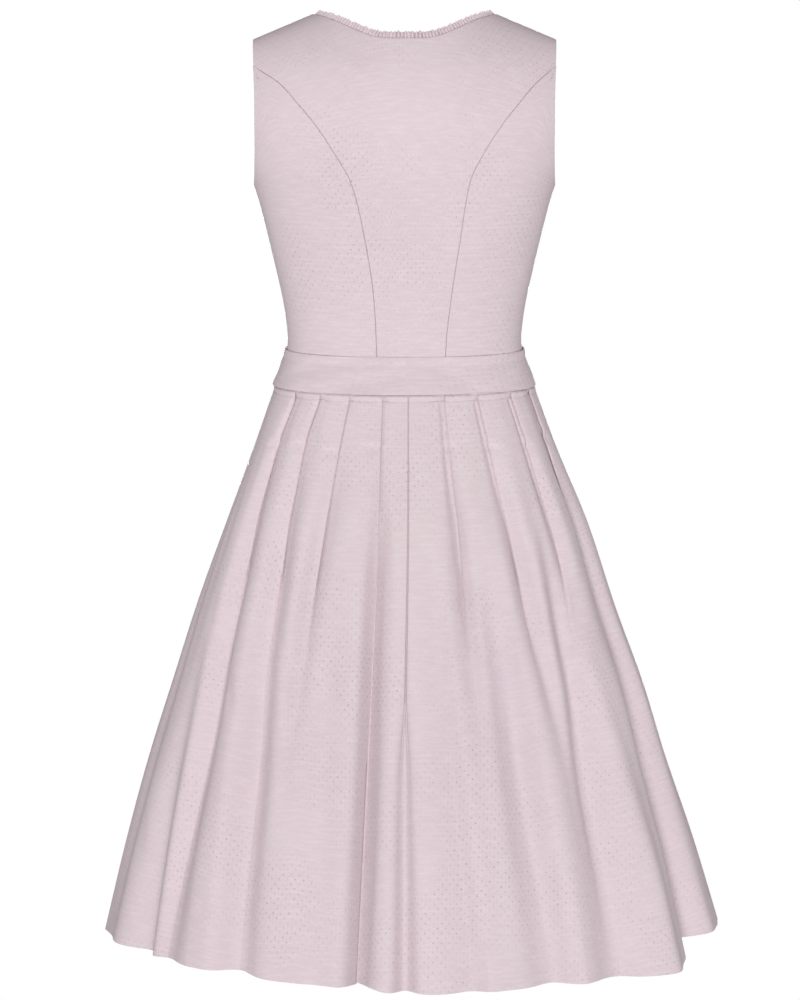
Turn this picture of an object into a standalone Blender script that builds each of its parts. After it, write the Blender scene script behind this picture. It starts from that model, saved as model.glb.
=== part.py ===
"""Sleeveless dirndl: princess-seamed bodice, neck frill, pleated skirt and an apron with its bow.

Metres, +Z up. The wearer faces -Y, so the back of the dress is at +Y and the wearer's left is +X.
The origin lies between the shoulder points, where the shoulders carry the dress.
Angles round the body are in degrees from the centre back, positive towards the wearer's left.
"""

import math

import bmesh
import bpy
import numpy as np

# Driving dimensions -------------------------------------------------------------------------

SEAM_GAP = 0.0003            # between two pieces that are sewn edge to edge
BODICE_WALL = 0.0012         # jacquard with its backing
SKIRT_WALL = 0.0010
BAND_WALL = 0.0015
BAND_EASE = 0.0004           # between the bodice and the band that lies round it
APRON_WALL = 0.0010
FRILL_WALL = 0.0010
TIE_WALL = 0.0012

SHOULDER_TIP_X = 0.163       # half of the shoulder width
NECK_POINT_X = 0.098         # where neckline and shoulder seam meet
NECK_POINT_Z = 0.022
BACK_NECK_Z = 0.004          # neckline at the centre back
FRONT_NECK_Z = -0.108        # neckline at the centre front
SCOOP_POWER = 2.1            # of the front neckline's climb towards the neck points
UNDERARM_Z = -0.157
BACK_SEAM_TOP_Z = -0.028     # where the back princess seams leave the armholes
FRONT_SEAM_TOP_Z = -0.075    # where the front princess seams leave the armholes
BAND_TOP_Z = -0.335
BAND_BOTTOM_Z = -0.3735
WAIST_SEAM_Z = -0.378
WAIST_HOLLOW_Z = -0.318      # where the bodice is narrowest
BAND_ROWS = (BAND_BOTTOM_Z, -0.354, BAND_TOP_Z)
APRON_HEM_Z = -0.955
HEM_Z = -0.985

# Rows of the bodice panels: even steps up a princess seam, then the heights above it
BACK_SEAM_ROWS, FRONT_SEAM_ROWS = 9, 7
BACK_SHOULDER_ROWS = (-0.016, -0.007, -0.002, 0.0)
FRONT_SHOULDER_ROWS = (-0.054, -0.034, -0.018, -0.007, -0.002, 0.0)
BACK_COLUMNS = np.linspace(-1.0, 1.0, 21)
SIDE_COLUMNS = 5

# Bodice rings: middle of the cloth, half width and depth from the side seams to back and front
BODICE_RINGS = (
    # height, half_width, back, front
    (0.050, 0.1800, 0.0850, 0.0780),
    (0.000, 0.1850, 0.0960, 0.0880),
    (-0.030, 0.1870, 0.1020, 0.0950),
    (-0.080, 0.1850, 0.1070, 0.1060),
    (-0.130, 0.1720, 0.1070, 0.1130),
    (-0.157, 0.1622, 0.1050, 0.1150),
    (-0.175, 0.1564, 0.1030, 0.1160),
    (-0.195, 0.1512, 0.1005, 0.1155),
    (-0.220, 0.1452, 0.0970, 0.1130),
    (-0.250, 0.1382, 0.0925, 0.1075),
    (-0.280, 0.1316, 0.0885, 0.1010),
    (-0.305, 0.1277, 0.0860, 0.0955),
    (-0.325, 0.1261, 0.0850, 0.0930),
    (-0.335, 0.1271, 0.0865, 0.0940),
    (-0.3735, 0.1392, 0.1003, 0.1060),
    (-0.378, 0.1407, 0.1019, 0.1075),
)
BODICE_SQUARENESS = 2.3      # power of the rings: 2 is an ellipse
SHOULDER_START_Z = -0.10     # above it the rings close towards the shoulder line
SHOULDER_ROUNDNESS = 2.2
SHOULDER_LINE_TOP = NECK_POINT_Z + (NECK_POINT_Z / (SHOULDER_TIP_X - NECK_POINT_X)) * NECK_POINT_X
SHOULDER_SLOPE = NECK_POINT_Z / (SHOULDER_TIP_X - NECK_POINT_X)

BUST_X, BUST_Z = 0.078, -0.195
BUST_RISE, BUST_WIDTH, BUST_HEIGHT = 0.015, 0.050, 0.062

ARMHOLE = (
    # height, back edge, front edge
    (0.000, 0.1630, 0.1630),
    (-0.028, 0.1615, 0.1560),
    (-0.075, 0.1602, 0.1480),
    (-0.110, 0.1602, 0.1470),
    (-0.140, 0.1610, 0.1530),
    (-0.157, 0.1622, 0.1622),
)
BACK_PRINCESS_SEAM = (
    # height, left x, right x (negative to the wearer's right)
    (-0.028, 0.1585, -0.1585),
    (-0.044, 0.1330, -0.1400),
    (-0.065, 0.1130, -0.1210),
    (-0.090, 0.0920, -0.1010),
    (-0.115, 0.0755, -0.0850),
    (-0.145, 0.0580, -0.0700),
    (-0.175, 0.0490, -0.0640),
    (-0.210, 0.0420, -0.0590),
    (-0.270, 0.0330, -0.0500),
    (-0.330, 0.0298, -0.0440),
    (-0.378, 0.0285, -0.0430),
)
FRONT_PRINCESS_SEAM = (
    # height, x on either side
    (-0.075, 0.1455),
    (-0.105, 0.1230),
    (-0.140, 0.1010),
    (-0.170, 0.0880),
    (-0.200, 0.0810),
    (-0.240, 0.0740),
    (-0.290, 0.0640),
    (-0.330, 0.0570),
    (-0.378, 0.0560),
)

FRONT_OVERLAP = 0.010        # how far each front runs past the centre under or over the other
OVERLAP_LIFT = 0.0017        # the right front lies this far out over the left one
OVERLAP_FADES = (0.020, 0.011)   # from the centre: where the lift starts and where it is full
FRONT_NEAR = np.array([-FRONT_OVERLAP, 0.001, 0.011, 0.020])
FRONT_SHARES = np.array([0.15, 0.30, 0.45, 0.60, 0.74, 0.83, 0.92, 1.0])
FRONT_NECK_SHARE = 0.74      # the share of the columns that ends in the neckline

BUTTON_COUNT = 6
BUTTON_RADIUS = 0.0065
BUTTON_HEIGHT = 0.0032
BUTTON_EASE = 0.0001
BUTTON_TOP_Z, BUTTON_BOTTOM_Z = -0.128, -0.318

FRILL_ABOVE, FRILL_BELOW = 0.0075, 0.0018
FRILL_WAVES = 116
FRILL_DEPTH = 0.0009         # half the depth of one frill wave at its free edge
FRILL_ROOT_DEPTH = 0.0005    # and at its sewn root
FRILL_ROOT_EASE = 0.0021     # the root lies this much deeper than the seam gap
FRILL_LEAN = 0.0006          # and the free edge leans out again by this much

# Skirt rings: outer layer of the pleats, to the wearer's left and right, to the back and the front
SKIRT_RINGS = (
    # height, left, right, back, front, squareness
    (-0.378, 0.1423, 0.1423, 0.1035, 0.1091, 2.30),
    (-0.440, 0.1640, 0.1650, 0.1260, 0.1310, 2.24),
    (-0.525, 0.1955, 0.1995, 0.1590, 0.1630, 2.18),
    (-0.613, 0.2275, 0.2295, 0.1910, 0.1940, 2.13),
    (-0.700, 0.2555, 0.2620, 0.2210, 0.2230, 2.10),
    (-0.787, 0.2830, 0.2890, 0.2480, 0.2480, 2.10),
    (-0.874, 0.3070, 0.3190, 0.2720, 0.2700, 2.10),
    (-0.985, 0.3340, 0.3530, 0.2980, 0.2930, 2.10),
)
LAYER_STEPS = (0.0016, 0.0024)   # middle of one pleat layer to the next, at waist and hem
SKIRT_TOP_Z = WAIST_SEAM_Z - SEAM_GAP
PLEAT_STITCHED_Z = -0.405    # the pleats are caught down as far as this
PLEAT_OPEN_Z, CENTRE_OPEN_Z = -0.600, -0.700     # where knife pleats and inverted pleat have opened
PLEAT_LEVELS_OUT = 0.13      # and this much lower their layers have levelled out
BACK_SKIRT_ROWS = (
    SKIRT_TOP_Z, PLEAT_STITCHED_Z, -0.450, -0.525, PLEAT_OPEN_Z, -0.650, CENTRE_OPEN_Z, -0.790, -0.885, HEM_Z)
FRONT_SKIRT_ROWS = (
    SKIRT_TOP_Z, PLEAT_STITCHED_Z, -0.500, PLEAT_OPEN_Z, -0.650, CENTRE_OPEN_Z, -0.835, HEM_Z)

# Each pleat: angle of its fold edge at waist and hem, how far it folds under at the waist,
# the height where it has opened, and how wide its flank is at the hem (all angles in degrees)
BACK_PLEATS_LEFT = (
    # waist, hem, under, opened, flank
    (11.0, 9.0, 8.0, -1.300, 0.0),
    (25.0, 26.0, 8.0, PLEAT_OPEN_Z, 3.0),
    (39.0, 33.0, 8.0, PLEAT_OPEN_Z, 2.2),
    (53.5, 52.0, 8.0, PLEAT_OPEN_Z, 4.0),
)
BACK_PLEATS_RIGHT = (
    (16.0, 17.0, 8.5, PLEAT_OPEN_Z, 3.0),
    (32.0, 34.5, 9.0, PLEAT_OPEN_Z, 3.5),
    (50.5, 47.0, 9.0, PLEAT_OPEN_Z, 4.0),
    (68.0, 64.0, 9.0, PLEAT_OPEN_Z, 4.0),
)
FRONT_PLEATS = (
    (14.0, 14.0, 8.0, PLEAT_OPEN_Z, 3.5),
    (29.0, 30.0, 8.0, PLEAT_OPEN_Z, 3.5),
    (44.0, 46.0, 8.0, PLEAT_OPEN_Z, 3.5),
    (60.0, 62.0, 8.0, PLEAT_OPEN_Z, 3.5),
)
BACK_CENTRE = (-1.3, 0.0, 7.0, CENTRE_OPEN_Z, 2.5)      # the inverted pleat, same columns
FRONT_CENTRE = (0.0, 0.0, 7.0, CENTRE_OPEN_Z, 2.5)
CENTRE_SLOT = 0.25           # half the slot between the inverted pleat's two fold edges
UPRIGHT = 0.28               # half the width of a pleat's riser where it is just opening
PLEAT_TOP_SHARE = 0.34       # least flat top of a pleat, as a share of the way to the next one
PLEAT_TOP_LIMIT = 16.0       # and that way counts for no more than this

# The skirt's large folds: troughs run inward, ridges (negative depth) outward
FOLD_HEIGHTS = (-0.430, -0.530, -0.620, -0.780, -0.985)
BACK_FOLDS = (
    # angle at top and hem, half width in degrees, then depth at each of the heights above
    (58.0, 49.0, 4.0, 0.000, 0.003, 0.009, 0.012, 0.008),
    (42.0, 30.0, 3.0, 0.000, 0.005, 0.010, 0.016, 0.017),
    (26.0, 25.0, 2.2, 0.000, 0.003, 0.005, 0.001, 0.000),
    (17.0, 17.0, 4.0, 0.000, 0.001, 0.006, 0.005, 0.000),
    (8.0, 8.3, 2.4, 0.000, 0.003, 0.008, 0.011, 0.012),
    (-1.0, 0.0, 2.2, 0.000, 0.000, 0.002, 0.010, 0.012),
    (-6.0, -9.5, 2.4, 0.000, 0.002, 0.004, 0.005, 0.006),
    (-16.5, -16.0, 2.4, 0.000, 0.004, 0.007, 0.006, 0.001),
    (-22.0, -24.0, 3.0, 0.000, 0.002, 0.007, 0.013, 0.016),
    (-32.0, -36.0, 2.6, 0.000, 0.005, 0.009, 0.007, 0.002),
    (-43.0, -42.0, 3.2, 0.000, 0.001, 0.008, 0.014, 0.016),
    (-71.0, -67.0, 4.2, 0.000, 0.003, 0.009, 0.018, 0.034),
    (-57.0, -56.5, 3.6, 0.000, 0.000, 0.000, -0.005, -0.019),
    (66.0, 61.0, 4.2, 0.000, 0.000, 0.002, 0.012, 0.030),
    (82.0, 78.0, 5.0, 0.000, 0.002, 0.004, 0.008, 0.010),
)
FRONT_FOLDS = (
    (14.0, 15.0, 4.0, 0.000, 0.002, 0.006, 0.010, 0.013),
    (-14.0, -13.0, 4.0, 0.000, 0.002, 0.006, 0.011, 0.014),
    (33.0, 36.0, 4.0, 0.000, 0.002, 0.007, 0.011, 0.013),
    (-36.0, -34.0, 4.0, 0.000, 0.002, 0.006, 0.012, 0.014),
    (55.0, 57.0, 4.0, 0.000, 0.002, 0.006, 0.011, 0.013),
    (-54.0, -57.0, 4.0, 0.000, 0.002, 0.006, 0.010, 0.013),
    (78.0, 76.0, 4.5, 0.000, 0.002, 0.005, 0.010, 0.016),
    (-77.0, -79.0, 4.5, 0.000, 0.002, 0.005, 0.009, 0.014),
)
# The skirt's front lies this much inside its ring, out of the apron's way (height, depth)
FRONT_SET_IN = ((-0.378, 0.0024), (-0.420, 0.0052), (-0.500, 0.0070), (-0.985, 0.0090))
SET_IN_FADES = (84.0, 74.0)  # degrees from the centre front: where it starts and where it is full

APRON_EDGE_DEGREES = 73.0    # the apron reaches this far either way from the centre front
APRON_GATHERS = 14
APRON_TOP_Z = BAND_BOTTOM_Z - SEAM_GAP
APRON_ROWS = (APRON_TOP_Z, -0.382, -0.405, -0.450, -0.530, -0.640, -0.780, APRON_HEM_Z)
APRON_GATHER_DEPTH = (       # height, half depth of the gathers
    (-0.373, 0.0006), (-0.405, 0.0016), (-0.450, 0.0014), (-0.560, 0.0000), (-1.0, 0.0))
APRON_FOLDS = 7
APRON_FOLD_DEPTH = (         # height, half depth of the broad folds
    (-0.373, 0.0), (-0.430, 0.0005), (-0.560, 0.0030), (-0.955, 0.0085))
APRON_EASE = 0.0004          # least stand-off from the skirt's ring
APRON_SETTLED_Z = -0.410     # below it the lapped fronts no longer lift the apron
LIFT_FADES = (26.0, 14.0)    # degrees from the centre front: where that lift starts and is full
BAND_COLUMNS = 64

TIE_WIDTH = 0.036
KNOT_SIZE = (0.026, 0.016, 0.032)
KNOT_CLEAR = 0.0006          # between the band and the knot
LOOP_LENGTH, LOOP_OPENING = 0.078, 0.022
LOOP_ROOT_WIDTH = 0.016      # the tie is drawn together to this at the knot
ROOT_GAP = 0.0005            # between the knot and the ends of loops and tails
LOOP_DROOP = 0.014           # how far a loop's end hangs down
LOOP_CLEAR = 0.0045          # how far the loops stand off the band and the gathers
TAIL_LENGTH, LEFT_TAIL_SHARE = 0.330, 0.94
TAIL_ROOT_WIDTH = 0.018
TAIL_START_X, TAIL_SPREAD = 0.0112, 0.038
TAIL_SLANT = 0.016           # how far the cut end of a tail rises across its width
TAIL_CURL = 0.0012           # how far the edges of a tail turn out or in
TAIL_CLEAR = 0.0038          # between a tail and the apron's highest folds

CLOTH_COLOUR = (0.745, 0.640, 0.690, 1.0)
BUTTON_COLOUR = (0.700, 0.610, 0.650, 1.0)


# Small helpers ------------------------------------------------------------------------------

def column(table, index):
    """One named column of a table, as an array."""
    return np.array([row[index] for row in table], dtype=float)


def along(table, index, height):
    """Column `index` of a table read at a height by a smooth curve through its rows."""
    heights = column(table, 0)[::-1]
    values = column(table, index)[::-1]
    step = np.diff(heights)
    slope = np.diff(values) / step
    tangent = np.zeros_like(values)
    same_way = slope[:-1] * slope[1:] > 0
    mean = 2 * slope[:-1] * slope[1:] / np.where(same_way, slope[:-1] + slope[1:], 1.0)
    tangent[1:-1] = np.where(same_way, mean, 0.0)
    tangent[0], tangent[-1] = slope[0], slope[-1]
    height = np.clip(np.asarray(height, dtype=float), heights[0], heights[-1])
    i = np.clip(np.searchsorted(heights, height, side="right") - 1, 0, len(step) - 1)
    t = (height - heights[i]) / step[i]
    return ((1 + 2 * t) * (1 - t) ** 2 * values[i] + t * (1 - t) ** 2 * step[i] * tangent[i]
            + t * t * (3 - 2 * t) * values[i + 1] + t * t * (t - 1) * step[i] * tangent[i + 1])


def smooth(value):
    """Soft step from 0 to 1."""
    value = np.clip(value, 0.0, 1.0)
    return value * value * (3 - 2 * value)


def fading(value, limits):
    """Soft step from 0 at the first limit to 1 at the second."""
    return smooth((limits[0] - value) / (limits[0] - limits[1]))


def ring_xy(angle, half_width, depth, squareness):
    """Point of a squared ring at an angle in degrees from the centre back."""
    sine, cosine = np.sin(np.radians(angle)), np.cos(np.radians(angle))
    reach = (np.abs(sine) ** squareness + np.abs(cosine) ** squareness) ** (-1 / squareness)
    return half_width * sine * reach, depth * cosine * reach


def unit(vectors):
    return vectors / np.maximum(np.linalg.norm(vectors, axis=-1, keepdims=True), 1e-12)


def grid_normals(points, closed=False):
    """Unit normals of a grid of points, from its rows and columns."""
    down = np.gradient(points, axis=0)
    if closed:
        across = np.roll(points, -1, axis=1) - np.roll(points, 1, axis=1)
    else:
        across = np.gradient(points, axis=1)
    return unit(np.cross(down, across))


def pulled_in(points, left=0.0, right=0.0, bottom=0.0, top=0.0):
    """The grid with its four borders drawn in by the widths given, for the gap at a seam."""
    points = points.copy()
    if left:
        points[:, 0] += unit(points[:, 1] - points[:, 0]) * left
    if right:
        points[:, -1] += unit(points[:, -2] - points[:, -1]) * right
    if bottom:
        points[0] += unit(points[1] - points[0]) * bottom
    if top:
        points[-1] += unit(points[-2] - points[-1]) * top
    return points


def principled(name, colour, roughness):
    material = bpy.data.materials.new(name)
    material.use_nodes = True
    shader = material.node_tree.nodes["Principled BSDF"]
    shader.inputs["Base Color"].default_value = colour
    shader.inputs["Roughness"].default_value = roughness
    shader.inputs["Metallic"].default_value = 0.0
    return material


def add_object(name, vertices, faces, colour=CLOTH_COLOUR, roughness=0.62):
    """One closed body with its faces turned outwards, in its own object and material."""
    mesh = bpy.data.meshes.new(name)
    mesh.from_pydata([tuple(v) for v in vertices], [], faces)
    work = bmesh.new()
    work.from_mesh(mesh)
    bmesh.ops.recalc_face_normals(work, faces=work.faces)
    work.to_mesh(mesh)
    work.free()
    mesh.shade_smooth()
    mesh.set_sharp_from_angle(angle=math.radians(50))
    mesh.materials.append(principled(name + "_finish", colour, roughness))
    built = bpy.data.objects.new(name, mesh)
    bpy.context.scene.collection.objects.link(built)
    return built


def add_wall(name, outer, inner, closed=False, **finish):
    """Closed wall between two grids of the same shape; a closed wall runs round in its columns.

    Both faces split each cell along its shorter diagonal, so that the wall keeps its thickness.
    """
    rows, columns = outer.shape[:2]
    vertices = np.concatenate([outer.reshape(-1, 3), inner.reshape(-1, 3)])
    back = rows * columns
    spans = columns if closed else columns - 1

    def index(row, col):
        return row * columns + col % columns

    faces = []
    for row in range(rows - 1):
        for col in range(spans):
            a, b = index(row, col), index(row, col + 1)
            c, d = index(row + 1, col + 1), index(row + 1, col)
            if np.linalg.norm(vertices[a] - vertices[c]) <= np.linalg.norm(vertices[b] - vertices[d]):
                halves = ((a, b, c), (a, c, d))
            else:
                halves = ((a, b, d), (b, c, d))
            for half in halves:
                faces.append(half)
                faces.append(tuple(back + corner for corner in half[::-1]))
    for col in range(spans):
        for row in (0, rows - 1):
            a, b = index(row, col), index(row, col + 1)
            faces.append((a, b, back + b, back + a))
    if not closed:
        for row in range(rows - 1):
            for col in (0, columns - 1):
                a, d = index(row, col), index(row + 1, col)
                faces.append((a, d, back + d, back + a))
    return add_object(name, vertices, faces, **finish)


def add_sheet(name, middle, wall, closed=False, **finish):
    """Cloth of even thickness about a grid of middle points."""
    normals = grid_normals(middle, closed)
    return add_wall(name, middle + normals * wall / 2, middle - normals * wall / 2, closed, **finish)


# Bodice form --------------------------------------------------------------------------------

def shoulder_line(x):
    """Height of the shoulder seam above a distance from the centre."""
    return SHOULDER_LINE_TOP - SHOULDER_SLOPE * np.abs(x)


def form_depth(x, z, front):
    """Depth of the bodice form in front of or behind the side seams, above the point (x, z)."""
    half_width = along(BODICE_RINGS, 1, z)
    depth = along(BODICE_RINGS, 3 if front else 2, z)
    share = np.clip(np.abs(x) / half_width, 0.0, 1.0)
    depth = depth * (1 - share ** BODICE_SQUARENESS) ** (1 / BODICE_SQUARENESS)
    if front:
        bust = ((np.abs(x) - BUST_X) / BUST_WIDTH) ** 2 + ((z - BUST_Z) / BUST_HEIGHT) ** 2
        depth = depth + BUST_RISE * np.exp(-bust) * smooth((1 - share) * 6)
    climb = (z - SHOULDER_START_Z) / (shoulder_line(x) - SHOULDER_START_Z)
    climb = np.clip(climb, 0.0, 1.0)
    return depth * (1 - climb ** SHOULDER_ROUNDNESS) ** (1 / SHOULDER_ROUNDNESS)


def form_points(x, z, front):
    """Points of the bodice form above (x, z)."""
    depth = form_depth(x, z, front)
    return np.stack([x, -depth if front else depth, z], axis=-1)


def back_neckline(x):
    """Height of the back neckline: flat behind the neck, then rising to the neck points."""
    share = np.abs(x) / NECK_POINT_X
    return BACK_NECK_Z + (NECK_POINT_Z - BACK_NECK_Z) * smooth((share - 0.2) / 0.8)


def front_neckline(x):
    """Height of the front neckline: a round scoop that climbs ever more steeply to the neck points."""
    share = np.clip(np.abs(x) / NECK_POINT_X, 0.0, 1.0)
    return FRONT_NECK_Z + (NECK_POINT_Z - FRONT_NECK_Z) * share ** SCOOP_POWER


def side_angle(x, z):
    """Angle whose ring point lies above x, for a place on the bodice form."""
    share = np.clip(np.abs(x) / along(BODICE_RINGS, 1, z), 0.0, 0.999999)
    return np.degrees(np.arctan(share / (1 - share ** BODICE_SQUARENESS) ** (1 / BODICE_SQUARENESS)))


def seam_heights(top, count):
    """Heights along a princess seam: the band's own heights, then even steps up to the armhole."""
    return np.concatenate([[WAIST_SEAM_Z], BAND_ROWS, np.linspace(WAIST_HOLLOW_Z, top, count)])


def centre_panel(x_share, top_x, top_z, heights, edge_x):
    """Places (x, z) of a panel from its waist to neckline and shoulder, between its two edges.

    Each column keeps its share of the way to the edge; the rows climb in proportion to the height
    of the column's own top.
    """
    climb = (heights - WAIST_SEAM_Z) / (heights[-1] - WAIST_SEAM_Z)
    blend = climb[:, None] ** 2
    share = x_share[None, :] * (1 - blend) + (top_x / SHOULDER_TIP_X)[None, :] * blend
    x = share * edge_x[:, None]
    z = WAIST_SEAM_Z + (top_z - WAIST_SEAM_Z)[None, :] * climb[:, None]
    return x, z


def side_panel(heights, inner_x, armhole_index, side, front):
    """Grid of a side panel from the princess seam to the armhole edge and the side seam."""
    z = heights
    edge_x = along(ARMHOLE, armhole_index, z)
    outer = np.where(z > UNDERARM_Z, side_angle(edge_x, z), 90.0)
    inner = side_angle(inner_x, z)
    angle = inner[:, None] + (outer - inner)[:, None] * np.linspace(0.0, 1.0, SIDE_COLUMNS)[None, :]
    half_width = along(BODICE_RINGS, 1, z)[:, None]
    x, _ = ring_xy(angle, half_width, 1.0, BODICE_SQUARENESS)
    points = form_points(side * x, np.broadcast_to(z[:, None], x.shape), front)
    points[:, -1, 1] = np.where(z > UNDERARM_Z, points[:, -1, 1], 0.0)
    return points


# The back -----------------------------------------------------------------------------------

def back_edge(heights, table_column, sign):
    """Edge of the back: the princess seam, then the armhole above it."""
    seam = along(BACK_PRINCESS_SEAM, table_column, heights)
    return np.where(heights > BACK_SEAM_TOP_Z, sign * along(ARMHOLE, 1, heights), seam)


def back_grid():
    """Grid of the centre back between its two princess seams, up to neckline and shoulders."""
    rows = np.concatenate([seam_heights(BACK_SEAM_TOP_Z, BACK_SEAM_ROWS), BACK_SHOULDER_ROWS])
    left = back_edge(rows, 1, 1)
    right = back_edge(rows, 2, -1)
    middle, half = (left + right) / 2, (left - right) / 2
    top_x = BACK_COLUMNS * SHOULDER_TIP_X
    top_z = np.where(np.abs(top_x) < NECK_POINT_X, back_neckline(top_x), shoulder_line(top_x))
    x, z = centre_panel(BACK_COLUMNS, top_x, top_z, rows, half)
    return form_points(x + middle[:, None], z, front=False)


def build_back():
    half_gap = SEAM_GAP / 2
    grid = pulled_in(back_grid(), left=half_gap, right=half_gap, top=half_gap)
    add_sheet("back_center", grid, BODICE_WALL)
    rows = seam_heights(BACK_SEAM_TOP_Z, BACK_SEAM_ROWS)
    for name, table_column, side in (("back_side_left", 1, 1), ("back_side_right", 2, -1)):
        inner = np.abs(along(BACK_PRINCESS_SEAM, table_column, rows))
        grid = side_panel(rows, inner, 1, side, front=False)
        add_sheet(name, pulled_in(grid, left=half_gap, right=half_gap), BODICE_WALL)


# The fronts ---------------------------------------------------------------------------------

def front_grid(side):
    """Grid of one front from past the centre to its princess seam, armhole, neckline and shoulder."""
    rows = np.concatenate([seam_heights(FRONT_SEAM_TOP_Z, FRONT_SEAM_ROWS), FRONT_SHOULDER_ROWS])
    seam = along(FRONT_PRINCESS_SEAM, 1, rows)
    edge = np.where(rows > FRONT_SEAM_TOP_Z, along(ARMHOLE, 2, rows), seam)
    start = FRONT_NEAR[-1]
    climb = (rows - WAIST_SEAM_Z) / (rows[-1] - WAIST_SEAM_Z)
    blend = climb[:, None] ** 2
    neck_x = start + (NECK_POINT_X - start) * FRONT_SHARES / FRONT_NECK_SHARE
    over = (FRONT_SHARES - FRONT_NECK_SHARE) / (1 - FRONT_NECK_SHARE)
    shoulder_x = NECK_POINT_X + (SHOULDER_TIP_X - NECK_POINT_X) * over
    top_x = np.where(FRONT_SHARES <= FRONT_NECK_SHARE, neck_x, shoulder_x)
    top_share = (top_x - start) / (SHOULDER_TIP_X - start)
    share = FRONT_SHARES[None, :] * (1 - blend) + top_share[None, :] * blend
    far = start + share * (edge - start)[:, None]
    near = np.broadcast_to(FRONT_NEAR[None, :], (len(rows), len(FRONT_NEAR)))
    x = np.concatenate([near, far], axis=1)
    all_top_x = np.concatenate([FRONT_NEAR, top_x])
    top_z = np.where(all_top_x < NECK_POINT_X, front_neckline(all_top_x), shoulder_line(all_top_x))
    z = WAIST_SEAM_Z + (top_z - WAIST_SEAM_Z)[None, :] * climb[:, None]
    return x, form_points(side * x, z, front=True)


def right_front_grid():
    """Middle of the right front, lifted over the left one along the centre."""
    x, grid = front_grid(-1)
    lift = OVERLAP_LIFT * fading(x, OVERLAP_FADES)
    normal = grid_normals(grid)
    normal *= np.sign(-normal[..., 1:2])
    return grid + normal * lift[..., None]


def build_fronts():
    half_gap = SEAM_GAP / 2
    left = pulled_in(front_grid(1)[1], right=half_gap, top=half_gap)
    add_sheet("front_center_left", left, BODICE_WALL)
    right = pulled_in(right_front_grid(), right=half_gap, top=half_gap)
    add_sheet("front_center_right", right, BODICE_WALL)
    rows = seam_heights(FRONT_SEAM_TOP_Z, FRONT_SEAM_ROWS)
    for name, side in (("front_side_left", 1), ("front_side_right", -1)):
        grid = side_panel(rows, along(FRONT_PRINCESS_SEAM, 1, rows), 2, side, front=True)
        add_sheet(name, pulled_in(grid, left=half_gap, right=half_gap), BODICE_WALL)


def button_seat(z):
    """Point and outward direction of the right front's face at a height on the centre line."""
    front = right_front_grid()
    heights = np.array([z - BUTTON_RADIUS, z, z + BUTTON_RADIUS])
    line = front[:, 1]
    depths = np.interp(heights, line[:, 2], line[:, 1])
    up = unit(np.array([0.0, depths[2] - depths[0], heights[2] - heights[0]]))
    out = np.array([0.0, -up[2], up[1]])
    around = np.column_stack([np.zeros(3), depths, heights])
    clear = np.max((around - around[1]) @ out)
    seat = around[1] + out * (clear + BODICE_WALL / 2 + SEAM_GAP + BUTTON_EASE)
    return seat, up, out


def build_buttons():
    """Domed buttons on the centre front line, seated on the right front."""
    turns, profile = 12, ((0.80, 0.0), (1.0, 0.35), (0.70, 0.92))
    across = np.array([1.0, 0.0, 0.0])
    for number, z in enumerate(np.linspace(BUTTON_TOP_Z, BUTTON_BOTTOM_Z, BUTTON_COUNT)):
        base, up, out = button_seat(z)
        vertices, faces = [], []
        for radius, height in profile:
            for turn in range(turns):
                angle = 2 * math.pi * turn / turns
                offset = across * math.cos(angle) + up * math.sin(angle)
                vertices.append(base + offset * radius * BUTTON_RADIUS + out * height * BUTTON_HEIGHT)
        vertices.append(base)
        vertices.append(base + out * BUTTON_HEIGHT)
        bottom, top = len(vertices) - 2, len(vertices) - 1
        for turn in range(turns):
            after = (turn + 1) % turns
            faces.append((bottom, after, turn))
            for level in range(len(profile) - 1):
                low, high = level * turns, (level + 1) * turns
                faces.append((low + turn, low + after, high + after, high + turn))
            last = (len(profile) - 1) * turns
            faces.append((last + turn, last + after, top))
        add_object("button_%d" % (number + 1), vertices, faces, BUTTON_COLOUR, 0.4)


# The neck frill -----------------------------------------------------------------------------

def edge_with_normals(grid, first, last, front):
    """Top row of a panel between two columns, with the outward direction of the form there."""
    edge = grid[-1, first:last + 1]
    x, z = edge[:, 0], np.minimum(edge[:, 2], shoulder_line(edge[:, 0]) - 0.0025)
    step = 0.0015
    across = form_points(x + step, z, front) - form_points(x - step, z, front)
    up = form_points(x, z, front) - form_points(x, z - step, front)
    normal = unit(np.cross(across, up))
    facing = -1.0 if front else 1.0
    return edge, normal * facing * np.sign(normal[:, 1:2])


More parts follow.
